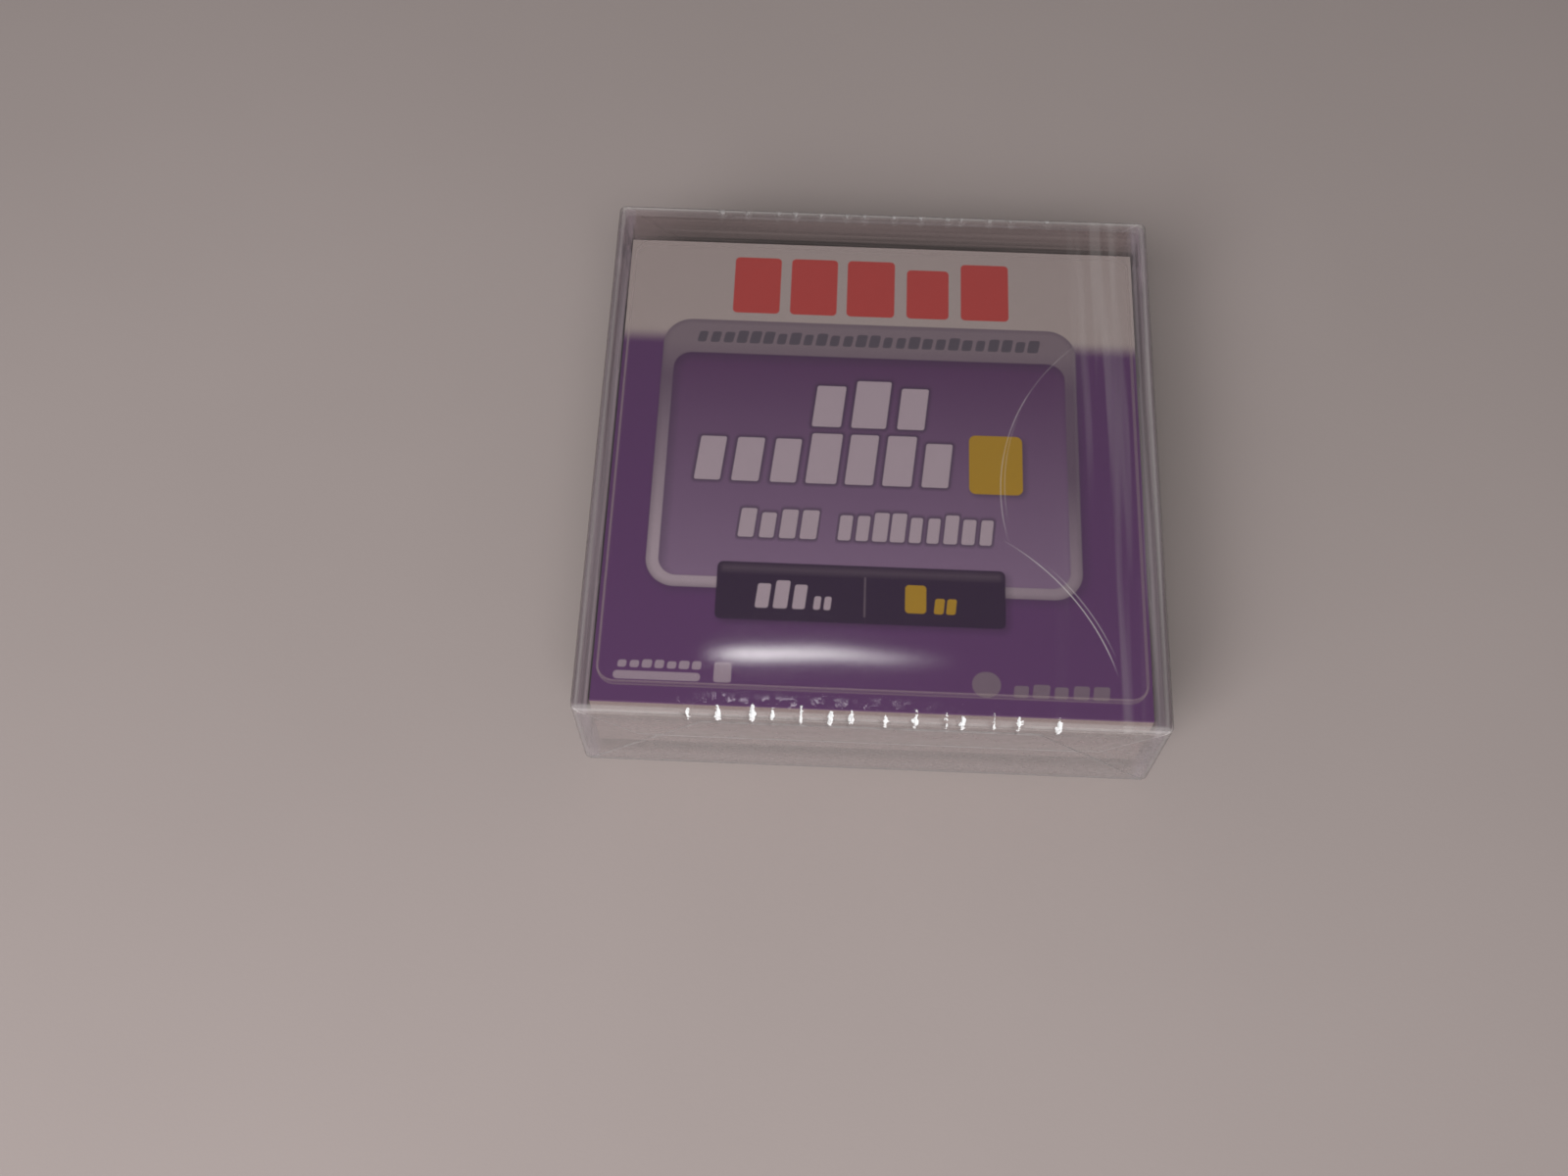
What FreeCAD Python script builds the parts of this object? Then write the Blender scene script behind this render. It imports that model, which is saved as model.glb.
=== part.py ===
"""Half-inch data tape cartridge, sealed in its clear hinged case with a printed card and an overwrap film.

Millimetres, +Z up, origin under the middle of the film's flat bottom. The case opens at -Y and hinges at
+Y. The cartridge lies in the case with its label face to -Y and its access door at the far end of +X.
Case parts are drawn from the case's underside, and cartridge parts from the underside of the cartridge
with the reel's axis at x = y = 0. Each group is lifted to its place when it is written out.
"""

import FreeCAD
import Part

import math
import os

V = FreeCAD.Vector

# ---- overwrap film, drawn four times as heavy as the real film ----
FILM = 0.12
FILM_SLACK = 0.08        # air between film and case, at the sides and over the lid
FILM_EDGE = 0.6          # outer rounding along the top and bottom edges
SEAM_WIDTH = 8.0         # lap of the long seam, on the left side
SEAM_Z = 7.0             # lower edge of that lap
LOWER_FOLD = 23.5        # height of the end flap folded up last
UPPER_FOLD = 11.0        # height of the end flap folded down under it
FOLD_MARGIN = 1.2        # a flap starts this far inside the pack's corners

# ---- clear case ----
CASE_SIDE_ROOM = 5.6     # from the cartridge to the case's outside, at each side
CASE_REAR_ROOM = 7.8     # the same behind the cartridge
CASE_HEADROOM = 1.5      # from the cartridge to the underside of the lid's plate
CORNER = 2.0             # upright corners
CASE_EDGE = 0.7          # rounding along the outer bottom and top edges
BASE_WALL = 1.3
BASE_FLOOR = 1.3
LID_WALL = 1.2
LID_PLATE = 1.3
SKIRT = 8.4              # the lid's skirt, from the case's top, at the front and sides
REAR_SKIRT = 15.6        # the same at the back
LIP_THICK = 1.0          # upstanding lip of the base inside the lid's skirt
LIP_RISE = 3.0
LIP_ROOT = 3.0           # how far the lip runs down inside the wall
MOULD_FIT = 0.1          # between lid and base where they overlap
HINGE_INSET = 6.5        # hinge axis, from the back face
HINGE_DROP = 7.1         # hinge axis, from the case's top
EAR_R = 5.0
EAR_GAP = 0.3            # lid skirt round the ear
CHEEK_R = 3.6
CHEEK_THICK = 1.4
CHEEK_GAP = 0.2
HINGE_PIN_R = 1.5
HINGE_PIN_FIT = 0.08
HINGE_PIN_STOP = 0.3     # end of the pin below the ear's outer face
PANEL_STEP = 0.4         # raised panel of the lid
PANEL_SIDE = 4.2         # its border at the sides
PANEL_FRONT = 6.2        # at the front
PANEL_BACK = 8.6         # at the back
PANEL_CORNER = 3.5
SNAP_BEAD_R = 0.3        # bead inside the lid's front skirt
SNAP_GROOVE_R = 0.42
SNAP_LENGTH = 36.0
SNAP_RISE = 1.8          # above the base's rim
GATE_MARK_R = 1.3        # moulding mark on the lid's front border
GATE_MARK_RISE = 0.15
GATE_MARK_SIDE = 9.2     # from the case's side
GATE_MARK_FRONT = 2.4    # and from its front
RAIL_RISE = 1.0          # floor rails that carry the cartridge
RAIL_WIDTH = 2.0
RAIL_INSET = 15.0        # from the cartridge's side
RAIL_END = 8.7           # from the cartridge's front and back
RIB = 1.2                # thickness of the case's ribs
RIB_TOP_GAP = 0.4        # side ribs below the lip's root
BACK_RIB_TOP_GAP = 1.2   # back ribs below the rear rim
BACK_RIB_INSET = 31.0    # ribs from the cartridge's corners
FRONT_RIB_INSET = 21.0
SIDE_RIB_INSET = 18.7
CARTRIDGE_FIT = 0.3      # between a rib and the cartridge

# ---- printed card: a top panel and a spine folded down inside the front wall ----
CARD = 0.3
CARD_SIDE = 3.2          # border from the case's outside
CARD_FRONT = 2.6
CARD_BACK = 7.5
CARD_FOLD_R = 0.7
SPINE_Z = 4.4            # lower edge of the spine
TAB_LENGTH = 8.0         # lid tabs that hold the card
TAB_THICK = 0.6
TAB_REACH = 1.0
TAB_FIT = 0.1
TAB_FOOT = 0.7
SIDE_TAB_INSET = 29.0    # tabs from the card's corners
BACK_TAB_INSET = 23.4

# ---- cartridge shells ----
CART_CORNER = 3.0
CART_EDGE = 0.8
SHELL_SIDE = 2.0
SHELL_FLOOR = 1.7
SHELL_ROOF = 1.6
SHELL_TOP_HALF = 10.75   # height of the upper shell
SPINE_GAP = 0.5          # card spine to the cartridge's label face
GUARD_THICK = 1.2        # curved walls round the reel, in three corners
GUARD_RISE = 4.3
GUARD_GAP = 1.1          # to the reel's flange
GUARD_REACH = 19.0       # how far a guard wall reaches from the shell's inner corner
RIM_THICK = 1.8          # raised rim round the drive opening
RIM_RISE = 1.3
DRIVE_HOLE_FIT = 0.6     # round the hub's boss
LABEL_DEPTH = 0.4
LABEL_LEFT = 21.0        # label recess from the left and right sides
LABEL_RIGHT = 4.0
LABEL_MARGIN_Z = 3.2
GRIP_COUNT = 6
GRIP_WIDTH = 1.4
GRIP_PITCH = 3.6
GRIP_DEPTH = 0.6
GRIP_START = 6.7         # first grip groove from the label face
GRIP_MARGIN_Z = 3.4
LOCATOR_R = 2.2
LOCATOR_DEPTH = 1.0
LOCATOR_SIDE = 10.0      # from the cartridge's side
LOCATOR_FRONT = 28.7     # from the label face
LOCATOR_SLOT = 3.0
TOP_RECESS_SIDE = 12.0   # borders of the shallow recess on top
TOP_RECESS_FRONT = 29.7
TOP_RECESS_BACK = 17.7
TOP_RECESS_DEPTH = 0.3

# ---- screws ----
SCREW_R = 1.25
SCREW_HEAD_R = 2.3
SCREW_HEAD = 1.4
SCREW_SINK = 0.5         # head below the cartridge's underside
SCREW_LENGTH = 13.0
SCREW_CROSS = 2.8
SCREW_CROSS_WIDTH = 0.6
SCREW_CROSS_DEPTH = 0.8
SCREW_FIT = 0.1
HEAD_FIT = 0.2
POST_R = 2.3
POST_FOOT_R = 3.6
POST_FOOT_RISE = 2.3
NEAR_SCREW_SIDE = 5.0    # the two by the label face, from the shell's inner faces
NEAR_SCREW_END = 6.7
FAR_SCREW_SIDE = 21.5    # the two at the far end
FAR_SCREW_END = 2.7

# ---- reel ----
REEL_R = 48.5
REEL_SIDE_ROOM = 0.5     # from the reel to the shell's inner side faces
REEL_END_ROOM = 2.2      # and to its inner end faces
REEL_HEADROOM = 1.35     # over the upper flange
REEL_SEAT_GAP = 0.1      # reel over the rim of the drive opening
FLANGE = 1.2
FLANGE_TAPER = 0.2
HUB_R = 22.0
HUB_WALL = 2.0
HUB_STEP = 1.0           # part of the wall that rises as a spigot to centre the upper flange
HUB_BOSS_INSET = 2.0     # the boss inside the hub's bore
HUB_BOSS = 1.5
FLANGE_FIT = 0.2         # between a flange and the tape's edge
WELD_FIT = 0.1
TAPE_WIDTH = 12.65
TAPE_MARGIN = 1.5        # from a full pack to the flange's edge
PACK_FIT = 0.1
DRIVE_TEETH = 60
DRIVE_TOOTH = 0.9
DRIVE_TOOTH_LENGTH = 3.4
DRIVE_RING_INSET = 0.4   # inside the boss
BRAKE_TEETH = 48
BRAKE_TOOTH = 1.0
BRAKE_TOOTH_LENGTH = 2.2
BRAKE_RING_INSET = 0.6   # inside the hub's bore
TOOTH_ROOT = 0.9
TOOTH_TIP = 0.35
DRIVE_TOOTH_ROOT = 0.8
DRIVE_TOOTH_TIP = 0.35
CLUTCH_MARGIN = 2.2      # from the steel plate to the drive teeth
CLUTCH_HOLE_R = 4.5
CLUTCH = 0.8
CLUTCH_SINK = 0.6
CLUTCH_FIT = 0.2

# ---- brake ----
TOOTH_CLEARANCE = 0.2    # tip to root, in mesh
BRAKE_LIFT = 1.6
BRAKE_FIT = 0.5          # in the hub's bore
BRAKE_DISC = 1.5
BRAKE_HOLLOW = 0.4       # the disc's underside over its toothed rim
BRAKE_RIM_LAP = 0.2      # rim inside the teeth's inner ends
SOCKET_WALL = 2.55
SOCKET_RISE = 7.6
KEY_LENGTH = 8.0         # cross-shaped guide on the upper shell
KEY_WIDTH = 2.2
KEY_FIT = 0.25
KEY_END_GAP = 1.4        # the guide's end over the lifted socket's floor
BRAKE_SPRING_FIT = 1.35  # between the coil and the socket
BRAKE_SPRING_WIRE = 0.9
BRAKE_SPRING_TURNS = 3.0
SPRING_SEAT_GAP = 0.05
SPIDER = 1.1
SPIDER_GAP = 0.2
SPIDER_R = 6.5
SPIDER_ARM = 4.0
SPIDER_LEG_R = 1.35
SPIDER_LEG_FIT = 0.35
SPIDER_LEG_INSET = 0.25  # leg inside the brake's toothed rim
SPIDER_LEG_DROP = 0.5    # leg below the hub's boss
SPIDER_DOME_R = 2.5
SPIDER_PLAY = 0.1

# ---- access door ----
DOOR = 0.9
DOOR_TRAVEL = 18.4
DOOR_OPENING = 17.0
DOOR_LAP = 0.7
DOOR_WALL = 1.0          # side wall where the door slides behind it
DOOR_FIT = 0.2
DOOR_STOP_GAP = 0.1
GROOVE_DEPTH = 0.8
GROOVE_END = 0.5
DOOR_NOTCH = 0.4
DOOR_NOTCH_WIDTH = 1.2
DOOR_NOTCH_INSET = 2.2
DOOR_NOTCH_MARGIN = 2.6
SPRING_INSET = 1.9       # coil's axis inside the door
SPRING_RISE = 4.3        # and over the shell's floor
DOOR_SPRING_R = 1.45
DOOR_SPRING_WIRE = 0.45
DOOR_SPRING_TURNS = 7.0
SPRING_CLOSED = 5.0      # length left to the coil when the door is open
SPRING_STOP_THICK = 1.0
SPRING_STOP_HALF = 1.3
SPRING_STOP_RISE = 6.6
BOSS_THICK = 2.0
BOSS_HALF = 1.8
BOSS_INSET = 5.3         # the boss's pushed face from the door's far end
SPIGOT_R = 0.9
SPIGOT = 2.2

# ---- leader pin and its holders ----
PIN_SIDE = 10.5          # pin's axis from the shell's inner side face
PIN_END = 7.5            # and from its inner end face
PIN_R = 1.6
PIN_DISC_R = 3.2
PIN_DISC = 1.2
PIN_END_GAP = 0.25
PIN_POCKET_FIT = 0.3
POCKET_WALL = 1.2
POCKET_RISE = 2.4
CLIP_THICK = 0.7
CLIP_FIT = 0.08
CLIP_SLOT = 0.9
LEADER = 0.2
LEADER_GAP = 0.3         # leader to the outer turn of tape
LEADER_WRAP = 24.0       # degrees along the pack
LEADER_EDGE = 0.1        # narrower than the tape, each side
RETAINER = 0.3
RETAINER_WIDTH = 2.8
RETAINER_BEHIND = 5.3    # its spine from the pin's axis
RETAINER_BESIDE = 4.0    # its edge from the pin's axis
RETAINER_TONGUE = 2.2
RETAINER_END = 0.3
RETAINER_STOP = 0.7
RETAINER_STOP_RISE = 4.3

# ---- memory chip, laid at 45 degrees ----
CHIP_LENGTH = 14.0
CHIP_WIDTH = 8.0
CHIP_THICK = 0.8
CHIP_SIDE = 8.5          # chip's middle from the shell's inner side face
CHIP_SEAT = 7.3          # foot of its ribs from the inner end face
CHIP_LIFT = 0.5
CHIP_RIB = 1.2
CHIP_RIB_INSET = 1.5

# ---- write-protect switch ----
SWITCH_TRAVEL = 5.0
NUB_LENGTH = 6.0
NUB_LOW = 1.7            # over the shell's floor
NUB_HEIGHT = 4.8
NUB_SINK = 0.4
NUB_FIT = 0.3
SWITCH_LENGTH = 7.6
SWITCH_THICK = 1.85
SWITCH_FIT = 0.15
SWITCH_LIFT = 0.2
SWITCH_RISE = 7.7
WINDOW_SIDE = 2.5        # window from the shell's inner side face
SWITCH_GUIDE = 1.0
SWITCH_GUIDE_GAP = 0.3
SWITCH_GUIDE_RISE = 6.3
SWITCH_CAP = 0.3         # upper shell's rib over the switch
SWITCH_GROOVES = 3
SWITCH_GROOVE = 0.4

# ---- cartridge sizes and places that follow ----
FLANGE_SPACE = TAPE_WIDTH + 2 * FLANGE_FIT
REEL_Z = SHELL_FLOOR + RIM_RISE + REEL_SEAT_GAP
HUB_FLOOR = REEL_Z + FLANGE
UPPER_FLANGE_Z = HUB_FLOOR + FLANGE_SPACE
ROOF = UPPER_FLANGE_Z + FLANGE + REEL_HEADROOM
CART_H = ROOF + SHELL_ROOF
SHELL_SPLIT = CART_H - SHELL_TOP_HALF
INSIDE_X = REEL_R + REEL_SIDE_ROOM
INSIDE_Y = REEL_R + REEL_END_ROOM
CART_W = 2 * (INSIDE_X + SHELL_SIDE)
CART_D = 2 * (INSIDE_Y + SHELL_SIDE)
LABEL_FACE = -CART_D / 2
BOSS_Z = REEL_Z - HUB_BOSS
TAPE_Z = HUB_FLOOR + FLANGE_FIT
TAPE_R = REEL_R - TAPE_MARGIN
HUB_BORE_R = HUB_R - HUB_WALL
HUB_STEP_R = HUB_R - HUB_STEP
HUB_BOSS_R = HUB_BORE_R - HUB_BOSS_INSET
DRIVE_HOLE_R = HUB_BOSS_R + DRIVE_HOLE_FIT
DRIVE_TEETH_OUT = HUB_BOSS_R - DRIVE_RING_INSET
DRIVE_TEETH_IN = DRIVE_TEETH_OUT - DRIVE_TOOTH_LENGTH
CLUTCH_R = DRIVE_TEETH_IN - CLUTCH_MARGIN
BRAKE_TEETH_OUT = HUB_BORE_R - BRAKE_RING_INSET
BRAKE_TEETH_IN = BRAKE_TEETH_OUT - BRAKE_TOOTH_LENGTH
BRAKE_RIM_IN = BRAKE_TEETH_IN - BRAKE_RIM_LAP
BRAKE_R = HUB_BORE_R - BRAKE_FIT
BRAKE_ROOT = HUB_FLOOR + BRAKE_TOOTH + TOOTH_CLEARANCE
BRAKE_UNDER = BRAKE_ROOT + BRAKE_HOLLOW
BRAKE_TOP = BRAKE_UNDER + BRAKE_DISC
SOCKET_R = KEY_LENGTH / 2 + KEY_FIT + SOCKET_WALL
BRAKE_SPRING_R = SOCKET_R + BRAKE_SPRING_FIT + BRAKE_SPRING_WIRE / 2
SPIDER_LEG_AT = BRAKE_RIM_IN - SPIDER_LEG_INSET - SPIDER_LEG_R
SCREW_TIP_Z = SCREW_SINK + SCREW_HEAD + SCREW_LENGTH
NEAR_SCREW = (INSIDE_X - NEAR_SCREW_SIDE, -INSIDE_Y + NEAR_SCREW_END)
FAR_SCREW = (INSIDE_X - FAR_SCREW_SIDE, INSIDE_Y - FAR_SCREW_END)
SCREWS = [(side * x, y) for x, y in (NEAR_SCREW, FAR_SCREW) for side in (-1, 1)]
DOOR_OUT_X = CART_W / 2 - DOOR_WALL - DOOR_FIT
DOOR_IN_X = DOOR_OUT_X - DOOR
DOOR_END_Y = INSIDE_Y - DOOR_STOP_GAP
DOOR_START_Y = DOOR_END_Y - DOOR_OPENING - 2 * DOOR_LAP
GROOVE_START_Y = DOOR_START_Y - DOOR_TRAVEL - GROOVE_END
GROOVE_IN_X = DOOR_IN_X - DOOR_FIT
BOSS_Y = DOOR_END_Y - BOSS_INSET
SPRING_STOP_Y = BOSS_Y - DOOR_TRAVEL - SPRING_CLOSED
SPRING_CENTRE_X = DOOR_IN_X - SPRING_INSET
SPRING_CENTRE_Z = SHELL_FLOOR + SPRING_RISE
PIN_X = INSIDE_X - PIN_SIDE
PIN_Y = INSIDE_Y - PIN_END
PIN_Z = (SHELL_FLOOR + PIN_END_GAP, ROOF - PIN_END_GAP)
POCKET_R = PIN_DISC_R + PIN_POCKET_FIT
RETAINER_X = PIN_X - RETAINER_BEHIND
RETAINER_Y = PIN_Y - RETAINER_BESIDE
CHIP_X = CHIP_SIDE - INSIDE_X
CHIP_SEAT_START = INSIDE_Y - CHIP_SEAT
WINDOW_X = WINDOW_SIDE - INSIDE_X
WINDOW_END_X = WINDOW_X + NUB_LENGTH + SWITCH_TRAVEL + 2 * NUB_FIT
NUB_Z = (SHELL_FLOOR + NUB_LOW, SHELL_FLOOR + NUB_LOW + NUB_HEIGHT)

# ---- case, card and film that follow ----
CART_Z = BASE_FLOOR + RAIL_RISE
PLATE_UNDER = CART_Z + CART_H + CASE_HEADROOM
CASE_H = PLATE_UNDER + LID_PLATE
CASE_W = CART_W + 2 * CASE_SIDE_ROOM
CASE_D = CARD_FRONT + CARD + SPINE_GAP + CART_D + CASE_REAR_ROOM
FRONT = -CASE_D / 2
BACK = CASE_D / 2
SIDE = CASE_W / 2
PARTING_Z = CASE_H - SKIRT
REAR_PARTING_Z = CASE_H - REAR_SKIRT
HINGE_Y = BACK - HINGE_INSET
HINGE_Z = CASE_H - HINGE_DROP
CARD_HALF = SIDE - CARD_SIDE
CARD_FRONT_Y = FRONT + CARD_FRONT
CARD_BACK_Y = BACK - CARD_BACK
CART_FRONT_Y = CARD_FRONT_Y + CARD + SPINE_GAP
CART_BACK_Y = CART_FRONT_Y + CART_D
CART_Y = CART_FRONT_Y + CART_D / 2
PACK_TOP = FILM + CASE_H + PANEL_STEP + FILM_SLACK + FILM
PACK_W = CASE_W + 2 * (FILM_SLACK + FILM)
PACK_D = CASE_D + 2 * (FILM_SLACK + FILM)


# ---- helpers ----

def box(x0, x1, y0, y1, z0, z1):
    return Part.makeBox(x1 - x0, y1 - y0, z1 - z0, V(x0, y0, z0))


def rod(r, z0, z1, x=0.0, y=0.0):
    return Part.makeCylinder(r, z1 - z0, V(x, y, z0))


def rod_x(r, x0, x1, y, z):
    return Part.makeCylinder(r, x1 - x0, V(x0, y, z), V(1, 0, 0))


def ring(r_in, r_out, z0, z1, x=0.0, y=0.0):
    return rod(r_out, z0, z1, x, y).cut(rod(r_in, z0, z1, x, y))


def slab(w, d, r, z0, z1, y=0.0):
    """Upright block with rounded upright corners."""
    block = box(-w / 2, w / 2, y - d / 2, y + d / 2, z0, z1)
    upright = [e for e in block.Edges if e.BoundBox.ZLength > (z1 - z0) / 2]
    return block.makeFillet(r, upright)


def soften(shape, r, z):
    """Rounds the edges that lie in the level z."""
    level = [e for e in shape.Edges if abs(e.BoundBox.ZMin - z) < 1e-3 and abs(e.BoundBox.ZMax - z) < 1e-3]
    return shape.makeFillet(r, level)


def prism_x(points, x0, x1):
    """Extrudes a (y, z) outline along X."""
    corners = [V(x0, y, z) for y, z in points]
    return Part.Face(Part.makePolygon(corners + corners[:1])).extrude(V(x1 - x0, 0, 0))


def prism_y(points, y0, y1):
    """Extrudes an (x, z) outline along Y."""
    corners = [V(x, y0, z) for x, z in points]
    return Part.Face(Part.makePolygon(corners + corners[:1])).extrude(V(0, y1 - y0, 0))


def turned(points):
    """Revolves an (r, z) outline about Z."""
    corners = [V(r, 0, z) for r, z in points]
    return Part.Face(Part.makePolygon(corners + corners[:1])).revolve(V(0, 0, 0), V(0, 0, 1), 360)


def spun(shape, angle):
    copy = shape.copy()
    copy.rotate(V(0, 0, 0), V(0, 0, 1), angle)
    return copy


def both_sides(shape):
    return [shape, shape.mirror(V(0, 0, 0), V(1, 0, 0))]


def radial_teeth(count, inner, outer, z_root, height, root, tip, offset=0.0):
    """Straight radial teeth, pointing up for a positive height and down for a negative one."""
    z_tip = z_root + height
    outline = [(-root / 2, z_root), (root / 2, z_root), (tip / 2, z_tip), (-tip / 2, z_tip)]
    corners = [V(inner, across, z) for across, z in outline]
    tooth = Part.Face(Part.makePolygon(corners + corners[:1])).extrude(V(outer - inner, 0, 0))
    pitch = 360.0 / count
    return [spun(tooth, (i + offset) * pitch) for i in range(count)]


def coil(radius, wire, length, turns):
    """Open helical spring on +Z from z = 0, its wire six-sided to keep the mesh light."""
    path = Part.makeHelix((length - wire) / turns, length - wire, radius)
    corners = [
        V(radius + wire / 2 * math.cos(k * math.pi / 3), 0, wire / 2 * math.sin(k * math.pi / 3))
        for k in range(6)
    ]
    section = Part.makePolygon(corners + corners[:1])
    spring = Part.Wire(path).makePipeShell([section], True, True)
    spring.translate(V(0, 0, wire / 2))
    return spring


# ---- overwrap ----

def end_fold(height, layers, rising):
    """A trapezoid end flap with 45 degree sides, lying on the front face and as many films thick as asked."""
    half = PACK_W / 2 - FOLD_MARGIN
    start = FILM_EDGE if rising else PACK_TOP - FILM_EDGE
    end = start + height if rising else start - height
    outline = [(-half, start), (half, start), (half - height, end), (-half + height, end)]
    front = -PACK_D / 2
    return prism_y(outline, front - layers * FILM, front)


def overwrap_film():
    inner_r = CORNER + FILM_SLACK
    outside = slab(PACK_W, PACK_D, inner_r + FILM, 0, PACK_TOP)
    outside = soften(soften(outside, FILM_EDGE, 0), FILM_EDGE, PACK_TOP)
    ceiling = PACK_TOP - FILM
    inside = slab(PACK_W - 2 * FILM, PACK_D - 2 * FILM, inner_r, FILM, ceiling)
    inside = soften(soften(inside, FILM_EDGE - FILM, FILM), FILM_EDGE - FILM, ceiling)
    folds = [end_fold(UPPER_FOLD, 1, False), end_fold(LOWER_FOLD, 2, True)]
    folds += [fold.mirror(V(0, 0, 0), V(0, 1, 0)) for fold in folds]
    seam_half = PACK_D / 2 - inner_r - FILM
    left = -PACK_W / 2
    seam = box(left - FILM, left, -seam_half, seam_half, SEAM_Z, SEAM_Z + SEAM_WIDTH)
    return outside.fuse(folds + [seam]).removeSplitter().cut(inside)


# ---- case ----

def skirt(outer_inset, thick, z0, z1):
    """Upright wall that follows the case's outline, its outer face inset as given."""
    w = CASE_W - 2 * outer_inset
    d = CASE_D - 2 * outer_inset
    r = max(CORNER - outer_inset, 0.3)
    inner_r = max(r - thick, 0.2)
    return slab(w, d, r, z0, z1).cut(slab(w - 2 * thick, d - 2 * thick, inner_r, z0, z1))


def snap(r):
    """Round bar along the front, on the face between the lid's skirt and the base's lip."""
    return rod_x(r, -SNAP_LENGTH / 2, SNAP_LENGTH / 2, FRONT + LID_WALL, PARTING_Z + SNAP_RISE)


def base_ribs():
    """Floor rails and upright ribs that carry and centre the cartridge, joined to the walls."""
    cart_side = CART_W / 2
    inner_x = SIDE - BASE_WALL
    inner_y = BACK - BASE_WALL
    rail_x = cart_side - RAIL_INSET
    ribs = both_sides(box(rail_x - RAIL_WIDTH / 2, rail_x + RAIL_WIDTH / 2, CART_FRONT_Y + RAIL_END,
                          CART_BACK_Y - RAIL_END, BASE_FLOOR, CART_Z))
    side_top = PARTING_Z - LIP_ROOT - RIB_TOP_GAP
    for y in (CART_FRONT_Y + SIDE_RIB_INSET, CART_Y, CART_BACK_Y - SIDE_RIB_INSET):
        ribs += both_sides(box(cart_side + CARTRIDGE_FIT, inner_x, y - RIB / 2, y + RIB / 2,
                               BASE_FLOOR, side_top))
    back_x = cart_side - BACK_RIB_INSET
    ribs += both_sides(box(back_x - RIB / 2, back_x + RIB / 2, CART_BACK_Y + CARTRIDGE_FIT, inner_y,
                           BASE_FLOOR, REAR_PARTING_Z - BACK_RIB_TOP_GAP))
    front_x = cart_side - FRONT_RIB_INSET
    ribs += both_sides(box(front_x - RIB / 2, front_x + RIB / 2, -inner_y,
                           CART_FRONT_Y - CARTRIDGE_FIT, BASE_FLOOR, SPINE_Z - CARTRIDGE_FIT))
    return ribs


def case_base():
    """Deep tray with a lip inside the lid's skirt and an ear at each rear side for the hinge."""
    ear_back = HINGE_Y + EAR_R
    tray = soften(slab(CASE_W, CASE_D, CORNER, 0, PARTING_Z), CASE_EDGE, 0)
    tray = tray.cut(slab(CASE_W - 2 * BASE_WALL, CASE_D - 2 * BASE_WALL, CORNER - BASE_WALL,
                         BASE_FLOOR, PARTING_Z))
    tray = tray.cut(box(-SIDE, SIDE, ear_back, BACK, REAR_PARTING_Z, PARTING_Z))
    lip = skirt(LID_WALL + MOULD_FIT, LIP_THICK, PARTING_Z - LIP_ROOT, PARTING_Z + LIP_RISE)
    lip = lip.cut(box(-SIDE, SIDE, HINGE_Y - EAR_R - EAR_GAP, BACK, 0, CASE_H))
    ear = rod_x(EAR_R, SIDE - BASE_WALL, SIDE, HINGE_Y, HINGE_Z)
    ear_root = PARTING_Z - LIP_ROOT
    ear = ear.fuse(box(SIDE - BASE_WALL, SIDE, HINGE_Y - EAR_R, ear_back, ear_root, HINGE_Z))
    bore = rod_x(HINGE_PIN_R + HINGE_PIN_FIT, -SIDE - 1, SIDE + 1, HINGE_Y, HINGE_Z)
    base = tray.fuse([lip] + both_sides(ear) + base_ribs())
    return base.cut([bore, snap(SNAP_GROOVE_R)]).removeSplitter()


def card_tab():
    """L-shaped tab under the lid at the card's right edge, seen at y = 0."""
    foot = PLATE_UNDER - CARD - TAB_FIT
    edge = CARD_HALF + TAB_FIT
    stem = box(edge, edge + TAB_THICK, -TAB_LENGTH / 2, TAB_LENGTH / 2, foot - TAB_FOOT, PLATE_UNDER)
    toe = box(edge - TAB_REACH, edge, -TAB_LENGTH / 2, TAB_LENGTH / 2, foot - TAB_FOOT, foot)
    return stem.fuse(toe)


def card_tabs():
    tabs = []
    for y in (CARD_FRONT_Y + SIDE_TAB_INSET, CARD_BACK_Y - SIDE_TAB_INSET):
        tab = card_tab()
        tab.translate(V(0, y, 0))
        tabs += both_sides(tab)
    rear = card_tab()
    rear.translate(V(CARD_BACK_Y - CARD_HALF, BACK_TAB_INSET - CARD_HALF, 0))
    tabs += both_sides(spun(rear, 90))
    return tabs


def hinge_cheek():
    """Cheek that hangs from the lid inside the right ear, with its pin."""
    outer = SIDE - BASE_WALL - CHEEK_GAP
    inner = outer - CHEEK_THICK
    cheek = box(inner, outer, HINGE_Y - CHEEK_R, HINGE_Y + CHEEK_R, HINGE_Z, PLATE_UNDER)
    cheek = cheek.fuse(rod_x(CHEEK_R, inner, outer, HINGE_Y, HINGE_Z))
    return cheek.fuse(rod_x(HINGE_PIN_R, outer, SIDE - HINGE_PIN_STOP, HINGE_Y, HINGE_Z))


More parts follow.
